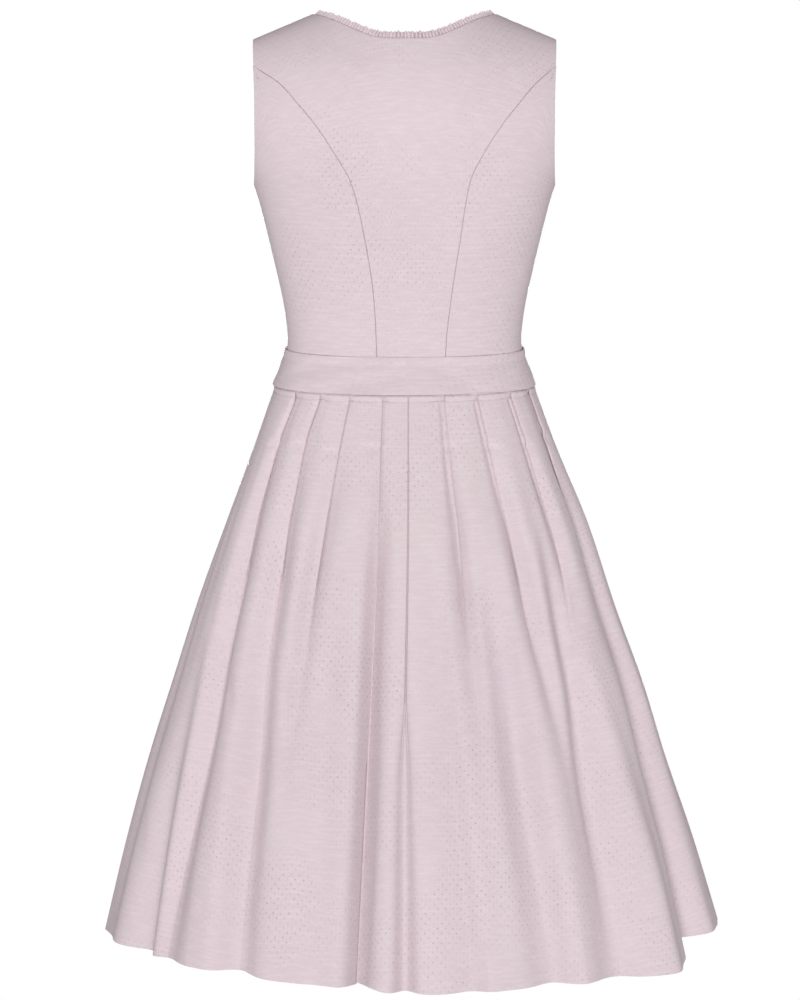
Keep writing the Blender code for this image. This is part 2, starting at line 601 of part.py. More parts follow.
def neckline_path(count):
    """Points along the neckline from the centre front, over the left shoulder and round the back.

    Returned with the direction out of the cloth's face and the direction on past its cut edge.
    """
    front_last = len(FRONT_NEAR) + int(np.argmin(np.abs(FRONT_SHARES - FRONT_NECK_SHARE)))
    behind_neck = np.flatnonzero(np.abs(BACK_COLUMNS) < NECK_POINT_X / SHOULDER_TIP_X + 0.005)
    front_edge, front_out = edge_with_normals(front_grid(1)[1], 2, front_last, True)
    rear_edge, rear_out = edge_with_normals(back_grid(), behind_neck[0], behind_neck[-1], False)
    mirror = np.array([-1.0, 1.0, 1.0])
    line = np.concatenate([front_edge, rear_edge[-2:0:-1], (front_edge * mirror)[::-1]])
    out = np.concatenate([front_out, rear_out[-2:0:-1], (front_out * mirror)[::-1]])
    length = np.concatenate([[0], np.cumsum(np.linalg.norm(np.diff(line, axis=0), axis=1))])
    spots = np.linspace(0, length[-1], count)
    line = np.stack([np.interp(spots, length, line[:, axis]) for axis in range(3)], axis=1)
    out = unit(np.stack([np.interp(spots, length, out[:, axis]) for axis in range(3)], axis=1))
    run = np.gradient(line, axis=0)
    for _ in range(5):
        run[1:-1] = (run[:-2] + 2 * run[1:-1] + run[2:]) / 4
        out[1:-1] = (out[:-2] + 2 * out[1:-1] + out[2:]) / 4
    beyond = unit(np.cross(out, unit(run)))
    return line, unit(out), beyond


def build_frill():
    """A narrow strip in small even waves, rooted inside the neckline and standing above it."""
    steps = 3
    count = FRILL_WAVES * steps + 1
    line, out, beyond = neckline_path(count)
    wave = np.sin(2 * math.pi * (np.arange(count) + 0.5) / steps)[:, None]
    inset = BODICE_WALL / 2 + SEAM_GAP + FRILL_WALL / 2 + FRILL_ROOT_EASE
    root = line - beyond * FRILL_BELOW - out * inset + out * wave * FRILL_ROOT_DEPTH
    free = line + beyond * FRILL_ABOVE - out * (inset - FRILL_LEAN) + out * wave * FRILL_DEPTH
    add_sheet("neck_frill", np.array([root, free]), FRILL_WALL, roughness=0.6)


# The skirt ----------------------------------------------------------------------------------

def skirt_ring(angle, z, set_in=0.0):
    """Point and outward direction of the skirt's ring at an angle from the centre back."""
    angle = np.asarray(angle, dtype=float)

    def point(at):
        turn = np.radians(at)
        half_width = np.where(np.sin(turn) > 0, along(SKIRT_RINGS, 1, z), along(SKIRT_RINGS, 2, z))
        depth = np.where(np.cos(turn) > 0, along(SKIRT_RINGS, 3, z), along(SKIRT_RINGS, 4, z))
        x, y = ring_xy(at, half_width, depth, along(SKIRT_RINGS, 5, z))
        return np.stack([x, y], axis=-1)

    here, ahead, behind = point(angle), point(angle + 0.5), point(angle - 0.5)
    run = unit(ahead - behind)
    outward = np.stack([run[..., 1], -run[..., 0]], axis=-1)
    outward *= np.sign(np.sum(outward * here, axis=-1, keepdims=True))
    return here - outward * np.asarray(set_in)[..., None], outward


def fold_depth(angle, z, folds):
    """How far the large folds carry the cloth out (positive) or in at an angle and a height."""
    total = np.zeros_like(np.asarray(angle, dtype=float))
    down = (FOLD_HEIGHTS[0] - z) / (FOLD_HEIGHTS[0] - FOLD_HEIGHTS[-1])
    for top, hem, width, *depths in folds:
        centre = top + (hem - top) * np.clip(down, 0.0, 1.0)
        table = tuple(zip(FOLD_HEIGHTS, depths))
        total -= along(table, 1, z) * np.exp(-((angle - centre) / width) ** 2)
    return total


def pleat_state(pleat, z):
    """Angle of a pleat's fold edge, its fold (negative once opened) and what is left of its layers."""
    waist, hem, under, opened, flank = pleat
    down = np.clip((WAIST_SEAM_Z - z) / (WAIST_SEAM_Z - HEM_Z), 0.0, 1.0)
    edge = waist + (hem - waist) * down
    if z > opened:
        from_stitch = (PLEAT_STITCHED_Z - z) / (PLEAT_STITCHED_Z - opened)
        return edge, under * (1 - np.clip(from_stitch, 0.0, 1.0)), 1.0
    return edge, -flank * (opened - z) / (opened - HEM_Z), 1 - smooth((opened - z) / PLEAT_LEVELS_OUT)


def riser(stop, count, last):
    """A pleat that is just opening: its points stand one above the other, leaning a little."""
    share = np.arange(count) / count
    return list(stop + UPRIGHT * (2 * share - 1)), list(last * (1 - share))


def centre_fold(centre, z):
    """Angles and layers of half the inverted pleat, from the middle of its underlay to its fold edge."""
    _, fold, left = pleat_state(centre, z)
    if fold == 0:
        angles, layers = riser(CENTRE_SLOT + 2 * UPRIGHT, 5, 2)
        return [0.0] + angles, [2.0] + layers, CENTRE_SLOT + 3 * UPRIGHT, 0.0
    spread, under = max(-fold, 0.0), max(fold, 0.0)
    inner = spread + under
    angles = [0.0, inner / 2, inner, inner + 0.15 * spread, inner / 2 + 0.9 * spread,
              CENTRE_SLOT + 1.6 * spread]
    layers = [2 * left, 2 * left, 2 * left, left, left, left]
    return angles, layers, CENTRE_SLOT + 2 * spread, under


def knife_fold(stop, fold, left, fine):
    """Angles and layers of one knife pleat, from where it dives under its fold edge up to the edge."""
    count = 6 if fine else 4
    if fold == 0:
        return riser(stop, count, 2)
    flank = min(fold, 0.0)
    under = (1.0, 0.5) if fold > 0 else (2.0, 1.5)
    angles = [stop + 2 * flank, stop + fold + 0.05 * flank, stop + fold - 0.05 * flank, stop + 0.05 * flank]
    layers = [2 * left, 2 * left, left, left]
    if fine:
        angles = angles[:1] + [stop + under[1] * fold] + angles[1:3] + [stop + fold / 2] + angles[3:]
        layers = layers[:1] + [2 * left] + layers[1:3] + [left] + layers[3:]
    return angles, layers


def half_row(centre, pleats, z, side_steps, fine):
    """Angles and layers of half a skirt panel, from its centre to the side seam, in one row.

    Each pleat runs: fold edge, top of the pleat, down under the next fold edge, along the
    underlay, round the inner fold, back along the return, and up to the next fold edge.
    Layer 0 is the outermost. The row starts in the middle of the inverted pleat's underlay.
    """
    angles, layers, start, fold = centre_fold(centre, z)
    for pleat in pleats:
        stop, next_fold, left = pleat_state(pleat, z)
        across, sunk = knife_fold(stop, next_fold, left, fine)
        reach = max(fold, PLEAT_TOP_SHARE * min(stop - start, PLEAT_TOP_LIMIT, across[0] - start))
        angles += [start, start + reach / 2, start + reach] if fine else [start, start + reach]
        layers += [0, 0, 0] if fine else [0, 0]
        angles += [(start + reach + across[0]) / 2] + across
        layers += [sunk[0] / 2] + sunk
        start, fold = stop + (UPRIGHT if next_fold == 0 else 0.0), max(next_fold, 0.0)
    reach = max(fold, PLEAT_TOP_SHARE * min(90.0 - start, PLEAT_TOP_LIMIT))
    rest = np.linspace(start + reach, 90.0, side_steps + 1)[1:]
    angles += [start, start + reach / 2, start + reach] if fine else [start, start + reach]
    layers += [0, 0, 0] if fine else [0, 0]
    angles += list(rest)
    layers += list(np.minimum(1.0, np.linspace(0.0, 1.2, side_steps + 1)[1:]))
    return np.array(angles), np.array(layers, dtype=float)


def skirt_middle(left, right, centre, folds, rows, front, side_steps, fine):
    """Middle points of a pleated panel, row by row, from the right side seam to the left one."""
    grid = []
    for z in rows:
        left_angles, left_layers = half_row(centre, left, z, side_steps[0], fine)
        right_angles, right_layers = half_row(centre, right, z, side_steps[1], fine)
        shift = pleat_state(centre, z)[0]
        down = (WAIST_SEAM_Z - z) / (WAIST_SEAM_Z - HEM_Z)
        layer_step = LAYER_STEPS[0] + (LAYER_STEPS[1] - LAYER_STEPS[0]) * down
        turn = np.concatenate([-right_angles[:0:-1], left_angles])
        fade = 1 - np.abs(turn) / 90.0
        turn = turn + shift * fade
        layers = np.concatenate([right_layers[:0:-1], left_layers])
        lift = fold_depth(turn, z, folds) - layers * layer_step
        angle = 180.0 - turn if front else turn
        set_in = np.zeros(len(turn))
        if front:
            set_in = along(FRONT_SET_IN, 1, z) * fading(np.abs(turn), SET_IN_FADES)
        point, outward = skirt_ring(angle, z, set_in)
        point = point + outward * lift[:, None]
        grid.append(np.column_stack([point, np.full(len(turn), z)]))
    return np.array(grid)


def add_skirt_panel(name, middle):
    """Pleated cloth: each row is thickened in its own level, with mitred corners at the folds."""
    flat = middle[..., :2]
    run = unit(np.diff(flat, axis=1))
    normal = np.stack([-run[..., 1], run[..., 0]], axis=-1)
    before = np.concatenate([normal[:, :1], normal], axis=1)
    after = np.concatenate([normal, normal[:, -1:]], axis=1)
    mitre = unit(before + after)
    stretch = 1 / np.maximum(np.sum(mitre * before, axis=-1, keepdims=True), 0.55)
    offset = np.concatenate([mitre * stretch, np.zeros(middle.shape[:2] + (1,))], axis=-1)
    return add_wall(name, middle + offset * SKIRT_WALL / 2, middle - offset * SKIRT_WALL / 2)


def build_skirt():
    back = skirt_middle(BACK_PLEATS_LEFT, BACK_PLEATS_RIGHT, BACK_CENTRE, BACK_FOLDS,
                        BACK_SKIRT_ROWS, False, (9, 6), fine=True)
    add_skirt_panel("skirt_back", pulled_in(back, left=SEAM_GAP / 2, right=SEAM_GAP / 2))
    front = skirt_middle(FRONT_PLEATS, FRONT_PLEATS, FRONT_CENTRE, FRONT_FOLDS,
                         FRONT_SKIRT_ROWS, True, (5, 5), fine=False)
    add_skirt_panel("skirt_front", pulled_in(front, left=SEAM_GAP / 2, right=SEAM_GAP / 2))


# The apron ----------------------------------------------------------------------------------

def front_lift(turn):
    """How far band and apron stand out over the lapped fronts, at an angle from the centre front."""
    return OVERLAP_LIFT * fading(np.abs(turn), LIFT_FADES)


def band_middle(columns, rows):
    """Middle of the waistband: the bodice ring moved out, closed round the waist."""
    angle = np.linspace(0.0, 360.0, columns, endpoint=False)
    out = BODICE_WALL / 2 + BAND_EASE + BAND_WALL / 2
    lift = front_lift(angle - 180.0)
    behind = np.cos(np.radians(angle)) > 0
    grid = []
    for z in rows:
        half_width = along(BODICE_RINGS, 1, z) + out
        depth = np.where(behind, along(BODICE_RINGS, 2, z), along(BODICE_RINGS, 3, z))
        x, y = ring_xy(angle, half_width, depth + out + lift, BODICE_SQUARENESS)
        grid.append(np.column_stack([x, y, np.full(columns, z)]))
    return np.array(grid)


def apron_point(turn, z):
    """Middle of the apron at an angle from the centre front: gathers at the top, broad folds below."""
    share = turn / APRON_EDGE_DEGREES
    edge = smooth((1.0 - np.abs(share)) * 5)
    gather = along(APRON_GATHER_DEPTH, 1, z) * (0.35 + 0.65 * edge)
    broad = along(APRON_FOLD_DEPTH, 1, z) * (0.12 + 0.88 * edge)
    phase = share * math.pi
    wave = gather * (1 + np.cos(APRON_GATHERS * phase))
    wave = wave + broad * (1 + np.cos(APRON_FOLDS * phase + 0.6))
    point, outward = skirt_ring(180.0 - turn, z)
    lift = front_lift(turn) * smooth((z - APRON_SETTLED_Z) / (BAND_BOTTOM_Z - APRON_SETTLED_Z))
    return point + outward * (wave + lift + APRON_EASE)[:, None]


def build_apron():
    band = band_middle(BAND_COLUMNS, BAND_ROWS)
    add_sheet("apron_band", band, BAND_WALL, closed=True)
    turn = np.linspace(-APRON_EDGE_DEGREES, APRON_EDGE_DEGREES, APRON_GATHERS * 4 + 1)
    grid = []
    for z in APRON_ROWS:
        grid.append(np.column_stack([apron_point(turn, z), np.full(len(turn), z)]))
    add_sheet("apron_panel", np.array(grid), APRON_WALL)


# The bow ------------------------------------------------------------------------------------

def bow_place():
    """Front of the band at the centre, where the knot lies."""
    z = (BAND_TOP_Z + BAND_BOTTOM_Z) / 2
    out = BODICE_WALL / 2 + BAND_EASE + BAND_WALL + OVERLAP_LIFT
    return np.array([0.0, -(along(BODICE_RINGS, 3, z) + out + KNOT_CLEAR), z])


def band_lean():
    """How far the front of the band leans back for each unit of height."""
    fall = along(BODICE_RINGS, 3, BAND_BOTTOM_Z) - along(BODICE_RINGS, 3, BAND_TOP_Z)
    return fall / (BAND_TOP_Z - BAND_BOTTOM_Z)


def build_knot():
    """The knot: a ball squared off a little, leaning back with the band behind it."""
    work = bmesh.new()
    bmesh.ops.create_uvsphere(work, u_segments=12, v_segments=8, radius=0.5)
    place = bow_place() - np.array([0.0, KNOT_SIZE[1] / 2, 0.0])
    for vertex in work.verts:
        squared = [math.copysign(abs(2 * c) ** 0.75 / 2, c) for c in vertex.co]
        vertex.co = [place[axis] + squared[axis] * KNOT_SIZE[axis] for axis in range(3)]
        vertex.co.y += band_lean() * (vertex.co.z - place[2])
    vertices = [tuple(vertex.co) for vertex in work.verts]
    faces = [tuple(vertex.index for vertex in face.verts) for face in work.faces]
    work.free()
    add_object("bow_knot", vertices, faces)


def build_loops():
    """Two loops of the tie: out from the knot, round, and back, pinched where the knot grips them."""
    place = bow_place()
    turn = np.radians(np.linspace(28.0, 332.0, 15))
    across = np.linspace(-0.5, 0.5, 4)
    root = KNOT_SIZE[0] / 2 + ROOT_GAP
    for name, side in (("bow_loop_left", 1), ("bow_loop_right", -1)):
        out = (1 - np.cos(turn)) / 2
        start = out[0]
        reach = root + LOOP_LENGTH * (out - start)
        swell = np.sin(math.pi * np.clip((out - start) / (1 - start), 0, 1) ** 0.8 * 0.94)
        depth = np.sin(turn) * LOOP_OPENING / 2 * (0.25 + 0.75 * swell) / np.sin(turn[0]) * 0.62
        depth = np.clip(depth, -LOOP_OPENING / 2, LOOP_OPENING / 2)
        width = LOOP_ROOT_WIDTH + (TIE_WIDTH - LOOP_ROOT_WIDTH) * smooth((out - start) * 2.2)
        droop = -LOOP_DROOP * ((out - start) / (1 - start)) ** 1.5
        x = side * np.broadcast_to(reach[:, None], (len(turn), len(across)))
        half_width = along(BODICE_RINGS, 1, place[2])
        bend = (1 - (np.abs(x) / half_width) ** BODICE_SQUARENESS) ** (1 / BODICE_SQUARENESS)
        away = LOOP_CLEAR * smooth((np.abs(x) - root) / 0.02) + LOOP_OPENING / 2
        y = place[1] * bend - away - depth[:, None]
        z = place[2] + droop[:, None] + width[:, None] * across[None, :]
        y = y + band_lean() * (z - place[2])
        add_sheet(name, np.stack([x, y, z], axis=-1), TIE_WALL)


def build_tails():
    """Two tails that hang from the knot over the apron, clear of its highest folds."""
    place = bow_place()
    down = np.linspace(0.0, 1.0, 11)
    across = np.linspace(-0.5, 0.5, 4)
    for name, side in (("bow_tail_left", 1), ("bow_tail_right", -1)):
        length = TAIL_LENGTH * (LEFT_TAIL_SHARE if side > 0 else 1.0)
        z = place[2] - KNOT_SIZE[2] / 2 - ROOT_GAP - length * down
        width = TAIL_ROOT_WIDTH + (TIE_WIDTH - TAIL_ROOT_WIDTH) * smooth(down * 4)
        centre = side * (TAIL_START_X + TAIL_SPREAD * down ** 0.8)
        x = centre[:, None] + width[:, None] * across[None, :]
        level = np.broadcast_to(z[:, None], x.shape)
        waves = along(APRON_GATHER_DEPTH, 1, level) + along(APRON_FOLD_DEPTH, 1, level)
        rest = along(SKIRT_RINGS, 4, level) + 2 * waves + TAIL_CLEAR
        half_width = (along(SKIRT_RINGS, 1, level) + along(SKIRT_RINGS, 2, level)) / 2
        share = np.abs(x) / half_width
        squareness = along(SKIRT_RINGS, 5, level)
        y = -rest * (1 - share ** squareness) ** (1 / squareness)
        start = place[1] - KNOT_SIZE[1] / 2
        ease = smooth(down * 6)[:, None]
        y = np.minimum(y * ease + (1 - ease) * start, y)
        y = y - TAIL_CURL * np.sin(down * 9 + side)[:, None] * (across[None, :] * 2) ** 2
        z_cut = level + TAIL_SLANT * across[None, :] * side * smooth((down - 0.8) * 5)[:, None]
        add_sheet(name, np.stack([x, y, z_cut], axis=-1), TIE_WALL)


def clear_scene():
    for old in list(bpy.data.objects):
        bpy.data.objects.remove(old, do_unlink=True)


clear_scene()
build_back()
build_fronts()
build_buttons()
build_frill()
build_skirt()
build_apron()
build_knot()
build_loops()
build_tails()
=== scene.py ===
import math

import bmesh
import bpy
import numpy as np
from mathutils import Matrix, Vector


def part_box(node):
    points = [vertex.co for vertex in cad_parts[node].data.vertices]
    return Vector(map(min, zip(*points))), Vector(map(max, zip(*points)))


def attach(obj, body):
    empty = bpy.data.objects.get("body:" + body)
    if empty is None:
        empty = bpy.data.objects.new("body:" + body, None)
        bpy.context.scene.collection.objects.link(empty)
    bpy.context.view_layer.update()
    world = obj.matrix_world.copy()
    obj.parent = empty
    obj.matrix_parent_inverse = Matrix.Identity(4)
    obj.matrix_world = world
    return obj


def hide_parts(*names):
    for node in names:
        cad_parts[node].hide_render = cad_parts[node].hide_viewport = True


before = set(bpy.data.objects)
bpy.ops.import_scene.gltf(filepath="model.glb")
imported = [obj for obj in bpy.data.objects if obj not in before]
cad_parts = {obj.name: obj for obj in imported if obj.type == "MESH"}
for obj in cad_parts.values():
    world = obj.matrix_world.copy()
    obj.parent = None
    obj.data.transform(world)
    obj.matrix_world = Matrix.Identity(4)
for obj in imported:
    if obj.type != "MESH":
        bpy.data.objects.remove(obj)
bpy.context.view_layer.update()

# Metres, +Z up. The wearer faces -Y, so the back of the dress is at +Y and its left side at +X.
# Angles round the body are in degrees from the centre back, positive to the wearer's left.


# ==== Centre back ===========================================================================
# The middle of the back, cut in one with both shoulders from a pale rose jacquard. Its long
# edges are turned in and sewn to the side backs in the curved princess seams.

SHOULDER_TIP_X, NECK_POINT_X, NECK_POINT_Z = 0.163, 0.098, 0.0255
BACK_NECK_Z, WAIST_SEAM_Z = 0.004, -0.378
SHOULDER_SLOPE = (NECK_POINT_Z + 0.002) / (SHOULDER_TIP_X - NECK_POINT_X)
BODICE_SQUARENESS = 2.3
BODICE_RINGS = np.array((
    # height, half width, depth to the back, depth to the front
    (0.050, 0.1800, 0.0850, 0.0780),
    (0.000, 0.1850, 0.0960, 0.0880),
    (-0.030, 0.1870, 0.1020, 0.0950),
    (-0.080, 0.1850, 0.1070, 0.1060),
    (-0.130, 0.1720, 0.1070, 0.1130),
    (-0.157, 0.1622, 0.1050, 0.1150),
    (-0.175, 0.1564, 0.1030, 0.1160),
    (-0.195, 0.1512, 0.1005, 0.1155),
    (-0.220, 0.1452, 0.0970, 0.1130),
    (-0.250, 0.1382, 0.0925, 0.1075),
    (-0.280, 0.1316, 0.0885, 0.1010),
    (-0.305, 0.1277, 0.0860, 0.0955),
    (-0.325, 0.1261, 0.0850, 0.0930),
    (-0.335, 0.1271, 0.0865, 0.0940),
    (-0.3735, 0.1392, 0.1003, 0.1060),
    (-0.378, 0.1407, 0.1019, 0.1075),
))
ARMHOLE = np.array((
    # height, back edge, front edge
    (0.000, 0.1630, 0.1630),
    (-0.028, 0.1615, 0.1560),
    (-0.075, 0.1602, 0.1480),
    (-0.110, 0.1602, 0.1470),
    (-0.140, 0.1610, 0.1530),
    (-0.157, 0.1622, 0.1622),
))
BACK_SEAM_TOP_Z = -0.028
BACK_PRINCESS_SEAM = np.array((
    # height, left x, right x
    (-0.028, 0.1604, -0.1604),
    (-0.044, 0.1330, -0.1400),
    (-0.065, 0.1130, -0.1210),
    (-0.090, 0.0920, -0.1010),
    (-0.115, 0.0755, -0.0850),
    (-0.145, 0.0580, -0.0700),
    (-0.175, 0.0490, -0.0640),
    (-0.210, 0.0420, -0.0590),
    (-0.270, 0.0330, -0.0500),
    (-0.330, 0.0298, -0.0440),
    (-0.378, 0.0285, -0.0430),
))
BACK_DRAG_LINES = np.array((
    # x, height, tilt in degrees, half length, half width, depth: soft troughs and ridges
    (0.010, -0.300, 4.0, 0.060, 0.010, -0.0009),
    (-0.020, -0.318, -3.0, 0.070, 0.008, -0.0008),
    (0.020, -0.222, 6.0, 0.050, 0.012, -0.0006),
    (0.000, -0.120, 0.0, 0.080, 0.020, -0.0008),
    (0.085, -0.075, 35.0, 0.050, 0.014, -0.0012),
    (-0.090, -0.070, -35.0, 0.050, 0.014, -0.0012),
    (0.050, -0.030, 20.0, 0.040, 0.012, 0.0007),
    (-0.055, -0.028, -18.0, 0.040, 0.012, 0.0007),
))
BODICE_WALL = 0.0007
SEAM_CLEAR = 0.00041         # from a seam's line to the middle of the turned cloth beside it
TURN_RADIUS = 0.0009         # of the cloth where it turns in at a seam or a finished edge
TURN_STEPS = np.array([0.0, 0.00015, 0.00035, 0.0007, 0.0014, 0.0028, 0.0050])
BUST_X, BUST_Z, BUST_HALF_WIDTH, BUST_HALF_HEIGHT, BUST_STANDS = 0.078, -0.195, 0.050, 0.062, 0.015
CLOSING_Z, CLOSING_POWER = -0.10, 2.2    # from this height up the form closes over the shoulders


def along(table, column, height):
    """A column of a table read at a height: cubic pieces whose slopes never overshoot the rows."""
    heights, values = table[::-1, 0], table[::-1, column]
    step = np.diff(heights)
    slope = np.diff(values) / step
    tangent = np.zeros_like(values)
    same_way = slope[:-1] * slope[1:] > 0
    total = np.where(same_way, slope[:-1] + slope[1:], 1.0)
    tangent[1:-1] = np.where(same_way, 2 * slope[:-1] * slope[1:] / total, 0.0)
    tangent[0], tangent[-1] = slope[0], slope[-1]
    height = np.clip(height, heights[0], heights[-1])
    i = np.clip(np.searchsorted(heights, height, side="right") - 1, 0, len(step) - 1)
    t = (height - heights[i]) / step[i]
    return ((1 + 2 * t) * (1 - t) ** 2 * values[i] + t * (1 - t) ** 2 * step[i] * tangent[i]
            + t * t * (3 - 2 * t) * values[i + 1] + t * t * (t - 1) * step[i] * tangent[i + 1])


def soft_step(value):
    """0 below 0, 1 above 1, and 3v^2 - 2v^3 between."""
    value = np.clip(value, 0.0, 1.0)
    return value * value * (3 - 2 * value)


def bell(offset, width):
    """exp(-(offset / width)^2): 1 in the middle and almost nothing two widths away."""
    return np.exp(-(offset / width) ** 2)


def tilted_bell(aside, rise, tilt, length, width):
    """A long bell along a line that is tilted by some degrees, as a soft crease runs."""
    run, climb = math.cos(math.radians(tilt)), math.sin(math.radians(tilt))
    return bell(aside * run + rise * climb, length) * bell(rise * run - aside * climb, width)


def squared_circle(turn, power):
    """Sideways and backward share of a squared circle at a turn: its sine and cosine, each over
    (|sine|^n + |cosine|^n)^(1/n)."""
    sine, cosine = np.sin(turn), np.cos(turn)
    reach = (np.abs(sine) ** power + np.abs(cosine) ** power) ** (-1 / power)
    return sine * reach, cosine * reach


def shoulder_height(x):
    """Height of the shoulder seam over x: a straight fall from the neck point to the tip."""
    return NECK_POINT_Z + SHOULDER_SLOPE * (NECK_POINT_X - np.abs(x))


def on_bodice(x, z, front):
    """Point of the bodice over (x, z): a squared ellipse at each height, closed over the shoulders.

    The depth falls off as (1 - share^n)^(1/n) towards the sides, and as (1 - climb^p)^(1/p) from
    the closing height up to the shoulder seam. The front adds a soft bust, a bell in x and z.
    """
    share = np.clip(np.abs(x) / along(BODICE_RINGS, 1, z), 0.0, 1.0)
    depth = along(BODICE_RINGS, 3 if front else 2, z)
    depth = depth * (1 - share ** BODICE_SQUARENESS) ** (1 / BODICE_SQUARENESS)
    if front:
        bust = bell(np.abs(x) - BUST_X, BUST_HALF_WIDTH) * bell(z - BUST_Z, BUST_HALF_HEIGHT)
        depth = depth + BUST_STANDS * bust * soft_step((1 - share) * 6)
    climb = np.clip((z - CLOSING_Z) / (shoulder_height(x) - CLOSING_Z), 0.0, 1.0)
    depth = depth * (1 - climb ** CLOSING_POWER) ** (1 / CLOSING_POWER)
    return np.stack([x, -depth if front else depth, z], axis=-1)


def unit(vectors):
    """Vectors scaled to length 1."""
    return vectors / np.maximum(np.linalg.norm(vectors, axis=-1, keepdims=True), 1e-12)


def normals_of(points, closed=False):
    """Unit normals of a grid: the cross product of its steps down a column and along a row."""
    down = np.gradient(points, axis=0)
    if closed:
        across = np.roll(points, -1, axis=1) - np.roll(points, 1, axis=1)
    else:
        across = np.gradient(points, axis=1)
    return unit(np.cross(down, across))


def lengths_along(points, axis):
    """Running length of a grid along one of its axes, starting from 0."""
    steps = np.linalg.norm(np.diff(points, axis=axis), axis=-1)
    pad = [(0, 0), (0, 0)]
    pad[axis] = (1, 0)
    return np.pad(np.cumsum(steps, axis=axis), pad)


def respaced(points, count, start, end):
    """Rows of a grid laid out anew: at set distances from both ends, a column of them for each
    column of the grid, and evenly between them."""
    length = lengths_along(points, 0)
    total = length[-1]
    fit = np.minimum(1.0, 0.96 * total / (start[-1] + end[-1]))
    start, end = start * fit, end * fit
    t = np.linspace(0.0, 1.0, count)[:, None]
    middle = start[-1] + (total - start[-1] - end[-1]) * t
    spots = np.concatenate([np.broadcast_to(start[:-1], (len(start) - 1, len(total))), middle,
                            total - end[:-1][::-1] + np.zeros_like(total)], axis=0)
    columns = []
    for c in range(points.shape[1]):
        sides = [np.interp(spots[:, c], length[:, c], points[:, c, k]) for k in range(3)]
        columns.append(np.stack(sides, axis=-1))
    return np.stack(columns, axis=1)


def square_to(points, steps):
    """Steps from a grid's first column, counted square to it: divided by the sine of the angle
    between the column and the row that crosses it."""
    run, row = unit(np.gradient(points[:, 0], axis=0)), unit(points[:, 1] - points[:, 0])
    sine = np.linalg.norm(np.cross(run, row), axis=-1)
    return steps[:, None] / np.clip(sine, 0.4, 1.0)[None, :]


def turned_in(points, normals, edges, depth=0.0042):
    """Carries the named edges of a grid round a small radius and straight in, as cloth turns at a
    seam: r - sqrt(r^2 - (r - d)^2) inward at a distance d from the edge, then two rows further in."""
    points = points.copy()
    drop = TURN_RADIUS - np.sqrt(TURN_RADIUS ** 2 - np.clip(TURN_RADIUS - TURN_STEPS, 0, None) ** 2)
    count = len(TURN_STEPS)
    for edge in edges:
        grid = points if edge in ("bottom", "top") else points.transpose(1, 0, 2)
        out = normals if edge in ("bottom", "top") else normals.transpose(1, 0, 2)
        if edge in ("top", "right"):
            grid, out = grid[::-1], out[::-1]
        grid[:count] -= out[:count] * drop[:, None, None]
    for edge in edges:
        flip = edge in ("left", "right")
        grid = points.transpose(1, 0, 2) if flip else points
        out = normals.transpose(1, 0, 2) if flip else normals
        if edge in ("top", "right"):
            grid, out = grid[::-1], out[::-1]
        flap = [grid[0] - out[0] * depth, grid[0] - out[0] * depth / 2]
        grid = np.concatenate([np.stack(flap), grid])
        out = np.concatenate([out[:1], out[:1], out])
        if edge in ("top", "right"):
            grid, out = grid[::-1], out[::-1]
        points = grid.transpose(1, 0, 2) if flip else grid
        normals = out.transpose(1, 0, 2) if flip else out
    return points


def quads(index):
    """Four-cornered faces between the rows and columns of a grid of vertex numbers."""
    corners = [index[:-1, :-1], index[:-1, 1:], index[1:, 1:], index[1:, :-1]]
    return np.stack(corners, axis=-1).reshape(-1, 4)


def cloth(name, middle, wall, finish, node, closed=False):
    """A closed shell of even thickness about a grid: two layers, and a rim round its open edges.

    The UV map is in metres on the cloth: the length along the row from its middle, and the length
    down the column, so a woven pattern follows the surface at its own scale.
    """
    rows, cols = middle.shape[:2]
    normal = normals_of(middle, closed)
    layers = [middle + normal * wall / 2, middle - normal * wall / 2]
    vertices = np.concatenate([layer.reshape(-1, 3) for layer in layers])
    index = np.arange(rows * cols).reshape(rows, cols)
    if closed:
        index = np.concatenate([index, index[:, :1]], axis=1)

    def rim(first, second):
        """Faces from one layer to the other, along an edge of the grid."""
        return np.stack([first, second, second + rows * cols, first + rows * cols], axis=-1)

    outer = quads(index)
    inner = outer[:, ::-1] + rows * cols
    rims = [rim(index[0, 1:], index[0, :-1]), rim(index[-1, :-1], index[-1, 1:])]
    if not closed:
        rims += [rim(index[:-1, 0], index[1:, 0]), rim(index[1:, -1], index[:-1, -1])]
    faces = np.concatenate([outer, inner] + rims)
    corner = vertices[faces]
    volume = np.einsum("ij,ij->i", corner[:, 0], np.cross(corner[:, 1], corner[:, 2])).sum()
    volume += np.einsum("ij,ij->i", corner[:, 0], np.cross(corner[:, 2], corner[:, 3])).sum()
    if volume < 0:
        faces = faces[:, ::-1]
    u = lengths_along(middle, 1)
    chart = np.stack([u - u[:, cols // 2][:, None], lengths_along(middle, 0)], axis=-1)
    flat = np.concatenate([chart.reshape(-1, 2)] * 2)[faces]
    if closed:
        around = lengths_along(np.concatenate([middle, middle[:, :1]], axis=1), 1)[:, -1].mean()
        across = flat[..., 0]
        wraps = across.max(axis=1) - across.min(axis=1) > around / 2
        behind = wraps[:, None] & (across < across.mean(axis=1)[:, None])
        flat = np.stack([np.where(behind, across + around, across), flat[..., 1]], axis=-1)
    mesh = bpy.data.meshes.new(name)
    mesh.from_pydata(vertices, [], faces)
    mesh.polygons.foreach_set("use_smooth", np.ones(len(faces), bool))
    mesh.uv_layers.new(name="cloth").uv.foreach_set("vector", flat.reshape(-1).astype(np.float32))
    mesh.set_sharp_from_angle(angle=math.radians(62))
    mesh.materials.append(finish)
    piece = bpy.data.objects.new(name, mesh)
    bpy.context.scene.collection.objects.link(piece)
    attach(piece, "root")
    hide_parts(node)
    return piece


